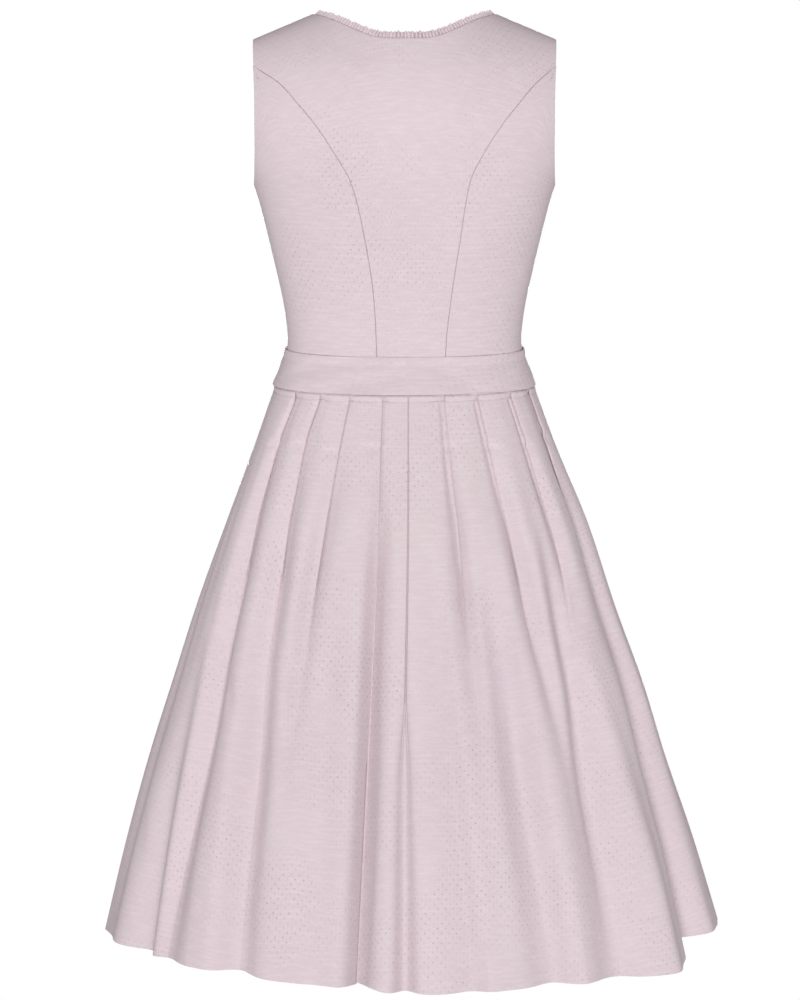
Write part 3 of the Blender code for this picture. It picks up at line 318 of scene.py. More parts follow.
class Wire:
    """One output in a material's node tree. Arithmetic on it adds the Math nodes that work it out."""

    def __init__(self, tree, socket=None):
        self.tree, self.socket = tree, socket

    def add(self, kind, settings=None, sockets=None, output=0):
        """Adds a node: its settings first, then the values or wires of its sockets."""
        node = self.tree.nodes.new(kind)
        for key, value in (settings or {}).items():
            setattr(node, key, value)
        for key, value in (sockets or {}).items():
            if isinstance(value, Wire):
                self.tree.links.new(value.socket, node.inputs[key])
            else:
                node.inputs[key].default_value = value
        return Wire(self.tree, node.outputs[output])

    def math(self, operation, *others):
        return self.add("ShaderNodeMath", {"operation": operation}, dict(enumerate((self,) + others)))

    def __add__(self, other):
        return self.math("ADD", other)

    def __mul__(self, other):
        return self.math("MULTIPLY", other)

    def __sub__(self, other):
        return self.math("SUBTRACT", other)

    def __rsub__(self, other):
        return self.add("ShaderNodeMath", {"operation": "SUBTRACT"}, {0: other, 1: self})

    def __truediv__(self, other):
        return self.math("DIVIDE", other)

    __radd__, __rmul__ = __add__, __mul__

    def ramp(self, low, high, to_low=0.0, to_high=1.0):
        """A soft step from one value to another as this one goes from low to high."""
        return self.add("ShaderNodeMapRange", {"interpolation_type": "SMOOTHSTEP"},
                        {"Value": self, "From Min": low, "From Max": high,
                         "To Min": to_low, "To Max": to_high})

    def noise(self, scale, detail=2.0, roughness=0.5):
        """Noise read at this point."""
        return self.add("ShaderNodeTexNoise", {}, {"Vector": self, "Scale": scale, "Detail": detail,
                                                   "Roughness": roughness})

    def stretched(self, x, y, z=1.0):
        """This point with its three sides multiplied."""
        return self.add("ShaderNodeVectorMath", {"operation": "MULTIPLY"}, {0: self, 1: (x, y, z)})

    def mix(self, first, second):
        """A colour between two, by this share."""
        return self.add("ShaderNodeMix", {"data_type": "RGBA"}, {"Factor": self, "A": first, "B": second}, 2)


def new_finish(name, fixed):
    """A new material with fixed values on its shader's sockets, and a wire to start from."""
    material = bpy.data.materials.new(name)
    material.use_nodes = True
    for socket, value in fixed.items():
        material.node_tree.nodes["Principled BSDF"].inputs[socket].default_value = value
    return material, Wire(material.node_tree)


def feed(material, varying):
    """Links what varies over the surface to the material's shader."""
    shader = material.node_tree.nodes["Principled BSDF"]
    for socket, wire in varying.items():
        material.node_tree.links.new(wire.socket, shader.inputs[socket])


GROUND_ROSE, SHADE_ROSE = (0.660, 0.558, 0.592, 1.0), (0.584, 0.472, 0.528, 1.0)
# LIGHT_ROSE colours the slubs and also the painted highlights beside the lozenges
WARM_ROSE, LIGHT_ROSE = (0.655, 0.566, 0.564, 1.0), (0.735, 0.650, 0.681, 1.0)
MOTIF_ROSE = (0.465, 0.368, 0.402, 1.0)
MOTIF_APART, MOTIF_ROWS = 0.0088, 0.0102    # from one lozenge to the next, across and down
# The painted highlight sits this far aside and up from each lozenge
PAINTED_HIGHLIGHT_ASIDE, PAINTED_HIGHLIGHT_UP = 0.0021, 0.0008      # from each lozenge to the gleam beside it


def lozenges(u, v, shift_u, shift_v):
    """Distance from the middle of the nearest lozenge, counted along both threads, in metres. Every
    other row is set off by half the way to the next lozenge."""
    lattices = []
    for half in (0.0, 0.5):
        across = ((u + (shift_u + half * MOTIF_APART)) / MOTIF_APART).math("FRACT") - 0.5
        up = ((v + (shift_v + half * MOTIF_ROWS)) / MOTIF_ROWS).math("FRACT") - 0.5
        lattices.append((across * MOTIF_APART).math("ABSOLUTE") + (up * MOTIF_ROWS).math("ABSOLUTE"))
    return lattices[0].math("MINIMUM", lattices[1])


def jacquard(name):
    """Satin ground with small lozenges that show in patches, each with a painted highlight beside it: a
    lighter rose spot that is also raised and glossier.

    Fine crosswise slubs, a worn speckle and a cloudy change between a warmer and a cooler rose run
    over it. The lozenges lie a little lower than the ground, the slubs and the grain higher.
    """
    material, start = new_finish(name, {"Specular IOR Level": 0.10, "Sheen Weight": 0.03,
                                        "Sheen Roughness": 0.60, "Sheen Tint": (1.0, 0.93, 0.96, 1.0)})
    place = start.add("ShaderNodeTexCoord", output="UV")
    body = start.add("ShaderNodeTexCoord", output="Object")
    u = place.add("ShaderNodeSeparateXYZ", {}, {0: place}, "X")
    v = place.add("ShaderNodeSeparateXYZ", {}, {0: place}, "Y")
    ragged = place.stretched(600.0, 600.0).noise(1.0, 2.0) * 0.0030 - 0.0015
    dot = (lozenges(u, v, 0.0, 0.0) + ragged).ramp(0.0017, 0.0004)
    # Mask of the painted highlight: a second lattice set up and aside of the lozenges, also raised and
    # glossier below
    painted_highlight = (lozenges(u, v, PAINTED_HIGHLIGHT_ASIDE, PAINTED_HIGHLIGHT_UP) + ragged).ramp(0.0014, 0.0003)
    uneven = place.stretched(125.0, 125.0).noise(1.0, 1.0).ramp(0.36, 0.60, 0.35, 1.0)
    patches = body.noise(10.0, 3.0, 0.6).ramp(0.40, 0.66, 0.10, 1.0) * uneven
    slubs = place.stretched(46.0, 330.0).noise(1.0, 3.0, 0.6).ramp(0.38, 0.70)
    clouds = body.noise(6.0, 3.0, 0.55).ramp(0.32, 0.70)
    warmth = body.noise(4.5, 2.0).ramp(0.45, 0.75)
    worn = body.noise(7.5, 2.0).ramp(0.50, 0.72)
    speckle = place.stretched(420.0, 420.0).noise(1.0, 3.0, 0.7).ramp(0.42, 0.72)
    grain = place.stretched(1500.0, 1500.0).noise(1.0, 1.0)
    colour = (clouds * 0.26).mix(GROUND_ROSE, SHADE_ROSE)
    colour = (warmth * 0.22).mix(colour, WARM_ROSE)
    colour = (slubs * 0.42).mix(colour, LIGHT_ROSE)
    colour = (speckle * (patches * 0.16 + worn * 0.16 + 0.05)).mix(colour, MOTIF_ROSE)
    colour = (dot * patches * 0.95).mix(colour, MOTIF_ROSE)
    # Painted highlight: light rose laid beside each lozenge, as if light caught its edge
    colour = (painted_highlight * patches * 0.45).mix(colour, LIGHT_ROSE)
    height = dot * -0.6 + painted_highlight * 0.4 + slubs * 0.35 + grain * 0.5
    bump = start.add("ShaderNodeBump", {}, {"Strength": 0.25, "Distance": 0.0004, "Height": height})
    rough = dot * patches * 0.14 + (grain * 0.08 + 0.54) - painted_highlight * 0.12
    feed(material, {"Base Color": colour, "Roughness": rough, "Normal": bump})
    return material


def drag_lines(x, z, table):
    """Sum of long soft bells, each along its own tilted line."""
    total = np.zeros_like(x)
    for at_x, at_z, tilt, length, width, depth in table:
        total = total + depth * tilted_bell(x - at_x, z - at_z, tilt, length, width)
    return total


def puckers(points, amount=0.00022):
    """Small waves that die out 8 mm from both side edges, where the seam draws the cloth in."""
    run = lengths_along(points, 1)
    near = np.exp(-run / 0.006) + np.exp(-(run[:, -1:] - run) / 0.006)
    climb = lengths_along(points, 0)
    wave = np.sin(climb * 620.0 + 1.7 * np.sin(climb * 90.0)) * (0.6 + 0.4 * np.sin(climb * 37.0 + 1.0))
    return near * wave * amount


def back_edge(heights, edge_z, column, sign):
    """Edge of the centre back: its princess seam, and above it the armhole."""
    seam = along(BACK_PRINCESS_SEAM, column, edge_z)
    return np.where(edge_z > BACK_SEAM_TOP_Z, sign * along(ARMHOLE, 1, heights), seam)


def panel_on_form(places, front, drags, edges, rows, cols):
    """Panel over a dense grid of (x, z) places: spaced evenly, creased, puckered, its edges turned."""
    raw = on_bodice(places[0], places[1], front)
    even = respaced(raw, rows, TURN_STEPS[:, None], TURN_STEPS[:, None])
    steps = TURN_STEPS + SEAM_CLEAR
    even = respaced(even.transpose(1, 0, 2), cols, square_to(even, steps), square_to(even[:, ::-1], steps))
    even = even.transpose(1, 0, 2)
    normal = normals_of(even)
    outward = np.sign((normal[..., 1] * (-1 if front else 1)).mean())
    normal = normal * outward
    even = even + normal * (drag_lines(even[..., 0], even[..., 2], drags) + puckers(even))[..., None]
    return turned_in(even, normal, edges)


def back_neckline(x):
    """Height of the back neckline: level in the middle, then a soft step up to the neck point."""
    rise = soft_step((np.abs(x) / NECK_POINT_X - 0.2) / 0.8)
    return BACK_NECK_Z + (NECK_POINT_Z - BACK_NECK_Z) * rise


def shoulder_levels():
    """Rows of a panel that reaches the shoulder: their height at the armhole, closer together near
    its end, their share of the climb from the waist, and their height at the panel's outer edge."""
    heights = np.linspace(WAIST_SEAM_Z, 0.0, 260)
    heights = np.concatenate([heights[:-1], -np.geomspace(0.0012, 1e-5, 14), [0.0]])
    climb = (heights - WAIST_SEAM_Z) / -WAIST_SEAM_Z
    return heights, climb, WAIST_SEAM_Z + (shoulder_height(SHOULDER_TIP_X) - WAIST_SEAM_Z) * climb


def back_places():
    """Places (x, z) of the centre back: even shares of the way between its two edges, where each
    column rises to its own end in the neckline or the shoulder seam, in step with the climb."""
    heights, climb, edge_z = shoulder_levels()
    left, right = back_edge(heights, edge_z, 1, 1), back_edge(heights, edge_z, 2, -1)
    share = np.linspace(-1, 1, 201)
    top_x = share * SHOULDER_TIP_X
    top_z = np.where(np.abs(top_x) < NECK_POINT_X, back_neckline(top_x), shoulder_height(top_x))
    x = (left + right)[:, None] / 2 + share * (left - right)[:, None] / 2
    return x, WAIST_SEAM_Z + (top_z - WAIST_SEAM_Z)[None, :] * climb[:, None]


bodice_cloth = jacquard("bodice_jacquard")
grid = panel_on_form(back_places(), False, BACK_DRAG_LINES, ("left", "right", "top"), 130, 130)
centre_back = cloth("centre_back", grid, BODICE_WALL, bodice_cloth, "back_center")


# ==== Side backs ============================================================================
# One on either side, from the princess seam to the side seam, with the lower back of the armhole.
# Each is a curved panel of the same cloth, with its long edges turned in at both seams.


def side_places(heights, inner, armhole_column, side):
    """Places (x, z) of a side panel: even steps of angle round the ring at each height."""
    half_width = along(BODICE_RINGS, 1, heights)

    def turn(x):
        """Angle of the squared circle whose share of the half width is that of x."""
        share = np.clip(np.abs(x) / half_width, 0.0, 0.9999999)
        return np.arctan(share / (1 - share ** BODICE_SQUARENESS) ** (1 / BODICE_SQUARENESS))

    armhole = along(ARMHOLE, armhole_column, heights)
    first = turn(inner)
    last = np.where(heights > ARMHOLE[-1, 0], turn(armhole), math.pi / 2)
    angle = first[:, None] + (last - first)[:, None] * np.linspace(0.0, 1.0, 90)[None, :]
    x = half_width[:, None] * squared_circle(angle, BODICE_SQUARENESS)[0]
    return side * x, np.broadcast_to(heights[:, None], x.shape).copy()


for name, node, column, side in (("side_back_left", "back_side_left", 1, 1),
                                 ("side_back_right", "back_side_right", 2, -1)):
    heights = np.linspace(WAIST_SEAM_Z, BACK_SEAM_TOP_Z + 0.0008, 240)
    places = side_places(heights, np.abs(along(BACK_PRINCESS_SEAM, column, heights)), 1, side)
    grid = panel_on_form(places, False, BACK_DRAG_LINES, ("left", "right"), 110, 70)
    piece = cloth(name, grid, BODICE_WALL, bodice_cloth, node)


# ==== Fronts ================================================================================
# Two centre fronts, the right one lapped over the left by 2 cm, and a side front beside each,
# joined by a princess seam over the bust. The neckline is a round scoop.

FRONT_NECK_Z, FRONT_SEAM_TOP_Z = -0.108, -0.075
FRONT_OVERLAP, OVERLAP_LIFT = 0.010, 0.0017
EVEN_X, NECK_PART = 0.020, 0.74   # even columns up to this x, then this part of them to the neckline
FRONT_PRINCESS_SEAM = np.array((
    # height, x on either side
    (-0.075, 0.1455),
    (-0.105, 0.1230),
    (-0.140, 0.1010),
    (-0.170, 0.0880),
    (-0.200, 0.0810),
    (-0.240, 0.0740),
    (-0.290, 0.0640),
    (-0.330, 0.0570),
    (-0.378, 0.0560),
))
FRONT_DRAG_LINES = np.array((
    # x, height, tilt in degrees, half length, half width, depth
    (0.050, -0.285, 78.0, 0.040, 0.009, -0.0008),
    (-0.052, -0.290, -76.0, 0.040, 0.009, -0.0008),
    (0.110, -0.240, 60.0, 0.050, 0.012, -0.0010),
    (-0.112, -0.236, -62.0, 0.050, 0.012, -0.0010),
    (0.000, -0.322, 0.0, 0.070, 0.007, -0.0007),
    (0.120, -0.090, 62.0, 0.035, 0.010, -0.0008),
    (-0.120, -0.092, -62.0, 0.035, 0.010, -0.0008),
))


def front_neckline(x):
    """Height of the front neckline: a round scoop, as the power 2.1 of the share of the way from
    the centre to the neck point."""
    share = np.clip(np.abs(x) / NECK_POINT_X, 0.0, 1.0)
    return FRONT_NECK_Z + (NECK_POINT_Z - FRONT_NECK_Z) * share ** 2.1


def front_places():
    """Places (x, z) of one front: even columns near the centre, the rest fanned out to the edge.

    Every column rises to its own end in the neckline or the shoulder seam, in step with the climb.
    """
    heights, climb, edge_z = shoulder_levels()
    edge = np.where(edge_z > FRONT_SEAM_TOP_Z, along(ARMHOLE, 2, heights),
                    along(FRONT_PRINCESS_SEAM, 1, edge_z))
    near = np.linspace(-FRONT_OVERLAP, EVEN_X, 14)
    shares = np.linspace(0.0, 1.0, 121)[1:]
    neck_x = EVEN_X + (NECK_POINT_X - EVEN_X) * shares / NECK_PART
    shoulder_x = NECK_POINT_X + (SHOULDER_TIP_X - NECK_POINT_X) * (shares - NECK_PART) / (1 - NECK_PART)
    top_x = np.where(shares <= NECK_PART, neck_x, shoulder_x)
    top_shares = (top_x - EVEN_X) / (SHOULDER_TIP_X - EVEN_X)
    blend = climb[:, None] ** 2
    spread = shares[None, :] * (1 - blend) + top_shares[None, :] * blend
    x = np.concatenate([np.broadcast_to(near, (len(heights), len(near))),
                        EVEN_X + spread * (edge - EVEN_X)[:, None]], axis=1)
    all_top = np.concatenate([near, top_x])
    top = np.where(all_top < NECK_POINT_X, front_neckline(all_top), shoulder_height(all_top))
    return x, WAIST_SEAM_Z + (top - WAIST_SEAM_Z)[None, :] * climb[:, None]


for name, node, side in (("centre_front_left", "front_center_left", 1),
                         ("centre_front_right", "front_center_right", -1)):
    x, z = front_places()
    grid = panel_on_form((side * x, z), True, FRONT_DRAG_LINES, ("right", "top"), 112, 80)
    if side < 0:
        normal = normals_of(grid)
        normal *= -np.sign(normal[..., 1].mean())
        lift = OVERLAP_LIFT * soft_step((EVEN_X + grid[..., 0]) / 0.009)
        grid = grid + normal * lift[..., None]
    piece = cloth(name, grid, BODICE_WALL, bodice_cloth, node)

for name, node, side in (("side_front_left", "front_side_left", 1),
                         ("side_front_right", "front_side_right", -1)):
    heights = np.linspace(WAIST_SEAM_Z, FRONT_SEAM_TOP_Z - 0.0004, 220)
    places = side_places(heights, along(FRONT_PRINCESS_SEAM, 1, heights), 2, side)
    grid = panel_on_form(places, True, FRONT_DRAG_LINES, ("left", "right"), 100, 60)
    piece = cloth(name, grid, BODICE_WALL, bodice_cloth, node)


# ==== Skirt back ============================================================================
# A straight width of the same cloth, laid in an inverted pleat in the centre and four knife
# pleats on either side, stitched down for 3 cm below the waist seam and opening to the hem.

SKIRT_RINGS = np.array((
    # height, left, right, back, front, squareness
    (-0.378, 0.1423, 0.1423, 0.1035, 0.1091, 2.30),
    (-0.440, 0.1640, 0.1650, 0.1260, 0.1310, 2.24),
    (-0.525, 0.1955, 0.1995, 0.1590, 0.1630, 2.18),
    (-0.613, 0.2275, 0.2295, 0.1910, 0.1940, 2.13),
    (-0.700, 0.2555, 0.2620, 0.2210, 0.2230, 2.10),
    (-0.787, 0.2830, 0.2890, 0.2480, 0.2480, 2.10),
    (-0.874, 0.3070, 0.3190, 0.2720, 0.2700, 2.10),
    (-0.985, 0.3340, 0.3530, 0.2980, 0.2930, 2.10),
))
SKIRT_TOP_Z, PLEAT_STITCHED_Z, HEM_Z = -0.3726, -0.405, -0.985
PLEAT_OPEN_Z, CENTRE_OPEN_Z, PLEAT_LEVELS_OUT = -0.575, -0.690, 0.10
SEAM_STRIP_Z, PLEATS_FREE_Z, STITCHING_ENDS_Z = -0.3830, -0.445, -0.431
SKIRT_WALL = 0.0007
SIDE_SEAM_CALM = 7.0             # the folds die out over these last degrees before the side seam
SIDE_SEAM_CLEAR = 0.99994        # of the half turn, so that back and front width don't touch
LAYER_STEPS = (0.0016, 0.0026)   # middle of one pleat layer to the next, at waist and hem
LINE_HEIGHTS = np.array((-0.378, -0.430, -0.490, -0.560, -0.660, -0.770, -0.985))
# Each pleat: angle of its fold edge at the heights above, how far it folds under at the waist,
# the height where it has opened, and how wide its flank is at the hem
BACK_PLEATS_LEFT = (
    ((11.0, 10.4, 9.8, 9.4, 9.2, 9.0, 9.3), 8.0, -1.300, 0.0),
    ((25.0, 26.5, 27.5, 28.0, 27.5, 26.5, 26.0), 8.0, PLEAT_OPEN_Z, 3.0),
    ((38.5, 42.0, 42.5, 41.5, 40.0, 37.0, 33.5), 8.0, PLEAT_OPEN_Z, 2.2),
    ((53.0, 58.0, 60.0, 59.0, 56.5, 53.5, 52.5), 8.0, PLEAT_OPEN_Z, 4.0),
)
BACK_PLEATS_RIGHT = (
    ((16.0, 16.0, 16.5, 17.0, 17.3, 17.5, 17.5), 8.5, PLEAT_OPEN_Z, 3.0),
    ((31.0, 32.5, 34.0, 36.0, 36.5, 36.5, 36.5), 9.0, PLEAT_OPEN_Z, 3.5),
    ((49.5, 52.0, 53.5, 53.0, 50.0, 47.5, 47.0), 9.0, PLEAT_OPEN_Z, 4.0),
    ((67.0, 70.5, 72.5, 73.0, 72.0, 70.5, 68.5), 9.0, PLEAT_OPEN_Z, 4.0),
)
BACK_CENTRE = ((-1.6, -1.4, -1.2, -0.8, -0.3, 0.0, 0.0), 7.0, CENTRE_OPEN_Z, 2.5)
BACK_FOLDS = (
    # angles at the heights above, half widths towards the centre and away from it, and depths at
    # the heights, in millimetres
    (BACK_PLEATS_LEFT[3][0], 6.0, 3.0, (0, 3, 10, 17, 19, 21, 18)),
    (BACK_PLEATS_LEFT[2][0], 5.6, 3.2, (0, 3, 10, 17, 21, 27, 22)),
    (BACK_PLEATS_LEFT[1][0], 4.2, 2.4, (0, 2, 9, 15, 13, 3, 0)),
    ((19.5, 19.5, 19.5, 19.5, 19.5, 19.5, 19.0), 5.2, 4.6, (0, 0, 0, 3, 10, 8, 1)),
    (BACK_PLEATS_LEFT[0][0], 3.9, 1.5, (0, 1, 6, 17, 23, 25, 25)),
    (BACK_CENTRE[0], 2.0, 2.0, (0, 0, 0, 1, 5, 13, 18)),
    ((-7.0, -7.0, -7.5, -8.5, -9.5, -10.5, -12.0), 3.6, 2.4, (0, 0, 1, 5, 9, 11, 12)),
    ((-16.5, -16.5, -17.0, -17.3, -17.6, -17.8, -18.0), 3.6, 2.0, (0, 3, 10, 16, 12, 5, 1)),
    ((-24.5, -24.5, -24.5, -25.0, -26.0, -26.8, -27.5), 5.4, 3.2, (0, 0, 1, 8, 18, 25, 21)),
    ((-32.0, -33.5, -35.0, -36.8, -37.5, -37.5, -37.5), 3.8, 2.2, (0, 3, 10, 17, 14, 6, 2)),
    ((-46.0, -46.0, -46.5, -47.5, -47.0, -45.0, -41.5), 5.4, 3.4, (0, 0, 1, 8, 19, 26, 21)),
    ((-50.0, -52.5, -54.0, -53.5, -52.0, -52.0, -52.0), 3.4, 2.2, (0, 2, 7, 6, 1, 0, 0)),
    ((-67.5, -71.0, -73.0, -73.5, -72.5, -70.5, -67.5), 5.4, 4.0, (0, 2, 7, 13, 18, 25, 40)),
    ((-54.0, -54.0, -54.0, -54.0, -54.0, -54.0, -52.0), 3.4, 3.0, (0, 0, 0, 0, 0, -4, -16)),
    ((66.0, 66.0, 66.0, 66.0, 65.0, 63.0, 60.5), 4.0, 4.6, (0, 0, 0, 1, 4, 11, 26)),
    ((82.0, 82.0, 82.0, 81.0, 80.0, 79.0, 78.0), 5.0, 5.0, (0, 0, 2, 3, 4, 4, 3)),
)
BACK_DENTS = (
    # angle, height, tilt of its line in degrees, half length, half width, depth: short slack creases
    (47.0, -0.690, -62.0, 0.020, 0.006, -0.0026),
    (31.0, -0.655, -70.0, 0.024, 0.007, -0.0030),
    (30.0, -0.730, -66.0, 0.022, 0.007, -0.0026),
    (22.0, -0.670, -64.0, 0.018, 0.006, -0.0020),
    (60.0, -0.640, -58.0, 0.026, 0.007, -0.0026),
    (44.0, -0.545, -72.0, 0.022, 0.006, -0.0020),
    (-20.0, -0.560, 76.0, 0.026, 0.007, -0.0024),
    (-41.0, -0.520, 66.0, 0.026, 0.007, -0.0026),
    (-55.0, -0.600, 60.0, 0.030, 0.008, -0.0030),
    (-30.0, -0.620, 70.0, 0.026, 0.008, -0.0020),
    (6.0, -0.520, -86.0, 0.030, 0.006, -0.0018),
    (70.0, -0.860, -72.0, 0.030, 0.010, -0.0030),
    (-74.0, -0.800, 74.0, 0.034, 0.010, -0.0030),
)
HEM_RISE = np.array((
    # turn round the back, how far the hem is above its lowest level there
    (90.0, 0.006), (72.0, 0.014), (60.0, 0.013), (45.0, 0.016), (35.0, 0.016), (25.0, 0.014),
    (15.0, 0.013), (8.0, 0.010), (0.0, 0.006), (-10.0, 0.006), (-20.0, 0.007), (-35.0, 0.006),
    (-45.0, 0.003), (-55.0, 0.006), (-66.0, 0.014), (-75.0, 0.020), (-90.0, 0.018),
))
WAIST_SEAM_RELIEF = (
    # height, half width, how far out: the rounded strip of turned cloth below the band, the deep
    # groove under the band's edge, and the shallow groove of the line of stitches
    (-0.3772, 0.0022, 0.0007),
    (-0.3738, 0.0011, -0.0022),
    (-0.3806, 0.0009, -0.0006),
)


def ring_point(angle, z, set_in=0.0):
    """Point and outward direction of the skirt's ring: a squared ellipse with its own half widths
    to the left and right and its own depths to the back and front."""

    def point(at):
        aside, behind = squared_circle(np.radians(at), along(SKIRT_RINGS, 5, z))
        half_width = np.where(aside > 0, along(SKIRT_RINGS, 1, z), along(SKIRT_RINGS, 2, z))
        depth = np.where(behind > 0, along(SKIRT_RINGS, 3, z), along(SKIRT_RINGS, 4, z))
        return np.stack([half_width * aside, depth * behind], axis=-1)

    here = point(angle)
    run = unit(point(angle + 0.5) - point(angle - 0.5))
    outward = np.stack([run[..., 1], -run[..., 0]], axis=-1)
    outward = outward * np.sign(np.sum(outward * here, axis=-1, keepdims=True))
    return here - outward * np.asarray(set_in)[..., None], outward


def at_height(values, z):
    """A row of values, one for each of the line heights, read at a height."""
    return along(np.column_stack([LINE_HEIGHTS, values]), 1, z)


def fold_lift(angle, z, folds):
    """Sum of the large folds: a bell across each one's line, with its own width on either side of
    the line and a depth read at the height."""
    total = np.zeros_like(angle)
    for line, inner, outer, depths in folds:
        offset = angle - at_height(line, z)
        width = np.where(offset * np.sign(line[-1]) > 0, outer, inner)
        total = total - 0.001 * at_height(depths, z) * bell(offset, width)
    return total


def pleat_at(pleat, z):
    """Angle of a pleat's fold edge, how far it still folds under, how far its flank has opened, and
    what is left of the steps between its layers."""
    line, under, opened, flank = pleat
    closing = np.clip((PLEAT_STITCHED_Z - z) / (PLEAT_STITCHED_Z - opened), 0.0, 1.0)
    spread = flank * np.clip((opened - z) / (opened - HEM_Z), 0.0, None) if opened > HEM_Z else 0.0 * z
    return at_height(line, z), under * (1 - closing), spread, 1 - soft_step((opened - z) / PLEAT_LEVELS_OUT)


def half_pleats(z, centre, pleats, last_steps):
    """Angle and layer of half a pleated width, row by row, from its centre to the side seam.

    From each fold edge the cloth runs out over the pleat, sinks under the next fold edge, turns
    back in the inner fold, and comes up again at the next fold edge.
    """
    zero = 0.0 * z
    _, under, spread, left = pleat_at(centre, z)
    inner = under + spread
    stops = [(zero, 2 * left, 7), (inner, 2 * left, 3), (inner + 0.15 * spread, left, 7),
             (0.25 + 1.6 * spread, left, 3)]
    start, fold = 0.25 + 2 * spread, under
    for pleat in pleats:
        edge, next_fold, next_spread, left = pleat_at(pleat, z)
        dive = edge - 2 * next_spread
        reach = np.minimum(np.maximum(fold, 0.34 * np.minimum(edge - start, 16.0)), dive - start)
        inner = edge + next_fold
        stops += [(start, zero, 7), (start + reach, zero, 6), ((start + reach + dive) / 2, left, 6),
                  (dive - 0.12 * (dive - start - reach), 1.7 * left, 4), (dive, 2 * left, 4),
                  (inner - 1.05 * next_spread, 2 * left, 3), (inner - 0.95 * next_spread, left, 5),
                  (edge - 0.05 * next_spread, left, 3)]
        start, fold = edge, next_fold
    reach = np.maximum(fold, 0.34 * np.minimum(90.0 - start, 16.0))
    stops += [(start, zero, 8), (start + reach, zero, last_steps), (zero + 90.0, zero + 1, 0)]
    pieces, layers = [], []
    for (angle, layer, steps), (next_angle, next_layer, _) in zip(stops[:-1], stops[1:]):
        t = np.arange(steps)[None, :] / steps
        pieces.append(angle[:, None] + (next_angle - angle)[:, None] * t)
        layers.append(layer[:, None] + (next_layer - layer)[:, None] * soft_step(t))
    pieces.append(stops[-1][0][:, None])
    layers.append(stops[-1][1][:, None])
    return np.concatenate(pieces, axis=1), np.concatenate(layers, axis=1)


def pleated_width(z, centre, left, right, folds, front, ripple):
    """Grid of a pleated width from the right side seam to the left one, hem last.

    Each row runs round the ring at its height, lifted by the folds, the ripple and the relief of
    the waist seam, and lowered by one layer step for each layer that it lies under the pleats.
    """
    left_angle, left_layer = half_pleats(z, centre, left, 30)
    right_angle, right_layer = half_pleats(z, centre, right, 26)
    shift = pleat_at(centre, z)[0][:, None]
    turn = np.concatenate([-right_angle[:, :0:-1], left_angle], axis=1)
    turn = turn + shift * (1 - np.abs(turn) / 90.0)
    layer = np.concatenate([right_layer[:, :0:-1], left_layer], axis=1)
    level = np.broadcast_to(z[:, None], turn.shape)
    if front:
        ends = np.where(turn > 0, HEM_RISE[0, 1], HEM_RISE[-1, 1])
        rise = ends * soft_step((np.abs(turn) - 50.0) / 40.0)
    else:
        rise = along(HEM_RISE, 1, turn)
    level = level + rise * np.clip((WAIST_SEAM_Z - level) / (WAIST_SEAM_Z - HEM_Z), 0.0, 1.0) ** 2
    down = (WAIST_SEAM_Z - level) / (WAIST_SEAM_Z - HEM_Z)
    layer_step = LAYER_STEPS[0] + (LAYER_STEPS[1] - LAYER_STEPS[0]) * down
    calm = soft_step((90.0 - np.abs(turn)) / SIDE_SEAM_CALM)
    lift = (fold_lift(turn, level, folds) + ripple(turn, level)) * calm - layer * layer_step
    lift = lift + waist_seam_relief(level)
    turn = turn * SIDE_SEAM_CLEAR
    set_in = 0.0 * turn
    if front:
        set_in = along(FRONT_SET_IN, 1, level) * soft_step((84.0 - np.abs(turn)) / 10.0)
    point, outward = ring_point(180.0 - turn if front else turn, level, set_in)
    grid = np.concatenate([point + outward * lift[..., None], level[..., None]], axis=-1)
    for _ in range(2):
        grid[:, 1:-1] = (grid[:, :-2] + 2 * grid[:, 1:-1] + grid[:, 2:]) / 4
    return grid


def back_ripple(turn, z):
    """Small uneven waves that grow below the stitching, short slack creases, and by each pleat a
    dent and a swell where its stitching ends and a groove along its fold edge."""
    waves = 0.0009 * np.sin(turn * 0.31 + 8.0 * z) + 0.0006 * np.sin(turn * 0.74 - 11.0 * z + 1.3)
    total = soft_step((PLEAT_STITCHED_Z - z) / 0.12) * waves
    for angle, height, tilt, length, width, depth in BACK_DENTS:
        aside = np.radians(angle - turn) * (0.14 - 0.28 * (height - WAIST_SEAM_Z))
        total = total + depth * tilted_bell(aside, z - height, tilt, length, width)
    for side, pleats in ((1, BACK_PLEATS_LEFT), (-1, BACK_PLEATS_RIGHT)):
        for number, pleat in enumerate(pleats):
            past_edge = turn * side - at_height(pleat[0], z)
            end = STITCHING_ENDS_Z + 0.003 * math.cos(2.3 * number + side)
            dent, swell = bell(z - end, 0.0040), bell(z - end - 0.0105, 0.0055)
            total = total + bell(past_edge - 1.6, 1.9) * (0.0012 * swell - 0.0024 * dent)
            groove = bell(past_edge + 0.60, 0.52) * soft_step((z + 0.520) / 0.07)
            total = total - 0.0034 * groove * soft_step((SKIRT_TOP_Z - 0.008 - z) / 0.004)
    return total


def waist_seam_relief(z):
    """What the waist seam does to the cloth below the band: one level bell for each row above."""
    return sum(stands * bell(z - height, width) for height, width, stands in WAIST_SEAM_RELIEF)


skirt_cloth = jacquard("skirt_jacquard")
z = np.concatenate([np.linspace(SKIRT_TOP_Z, SEAM_STRIP_Z, 24)[:-1],
                    np.linspace(SEAM_STRIP_Z, PLEATS_FREE_Z, 24)[:-1],
                    np.linspace(PLEATS_FREE_Z, HEM_Z, 62)])
grid = pleated_width(z, BACK_CENTRE, BACK_PLEATS_LEFT, BACK_PLEATS_RIGHT, BACK_FOLDS, False, back_ripple)
back_width = cloth("skirt_back_width", grid, SKIRT_WALL, skirt_cloth, "skirt_back")


# ==== Skirt front ===========================================================================
# A second width of the same cloth, pleated the same way and sewn to the back one at the sides. It
# hangs a little flatter, because the apron lies over it.

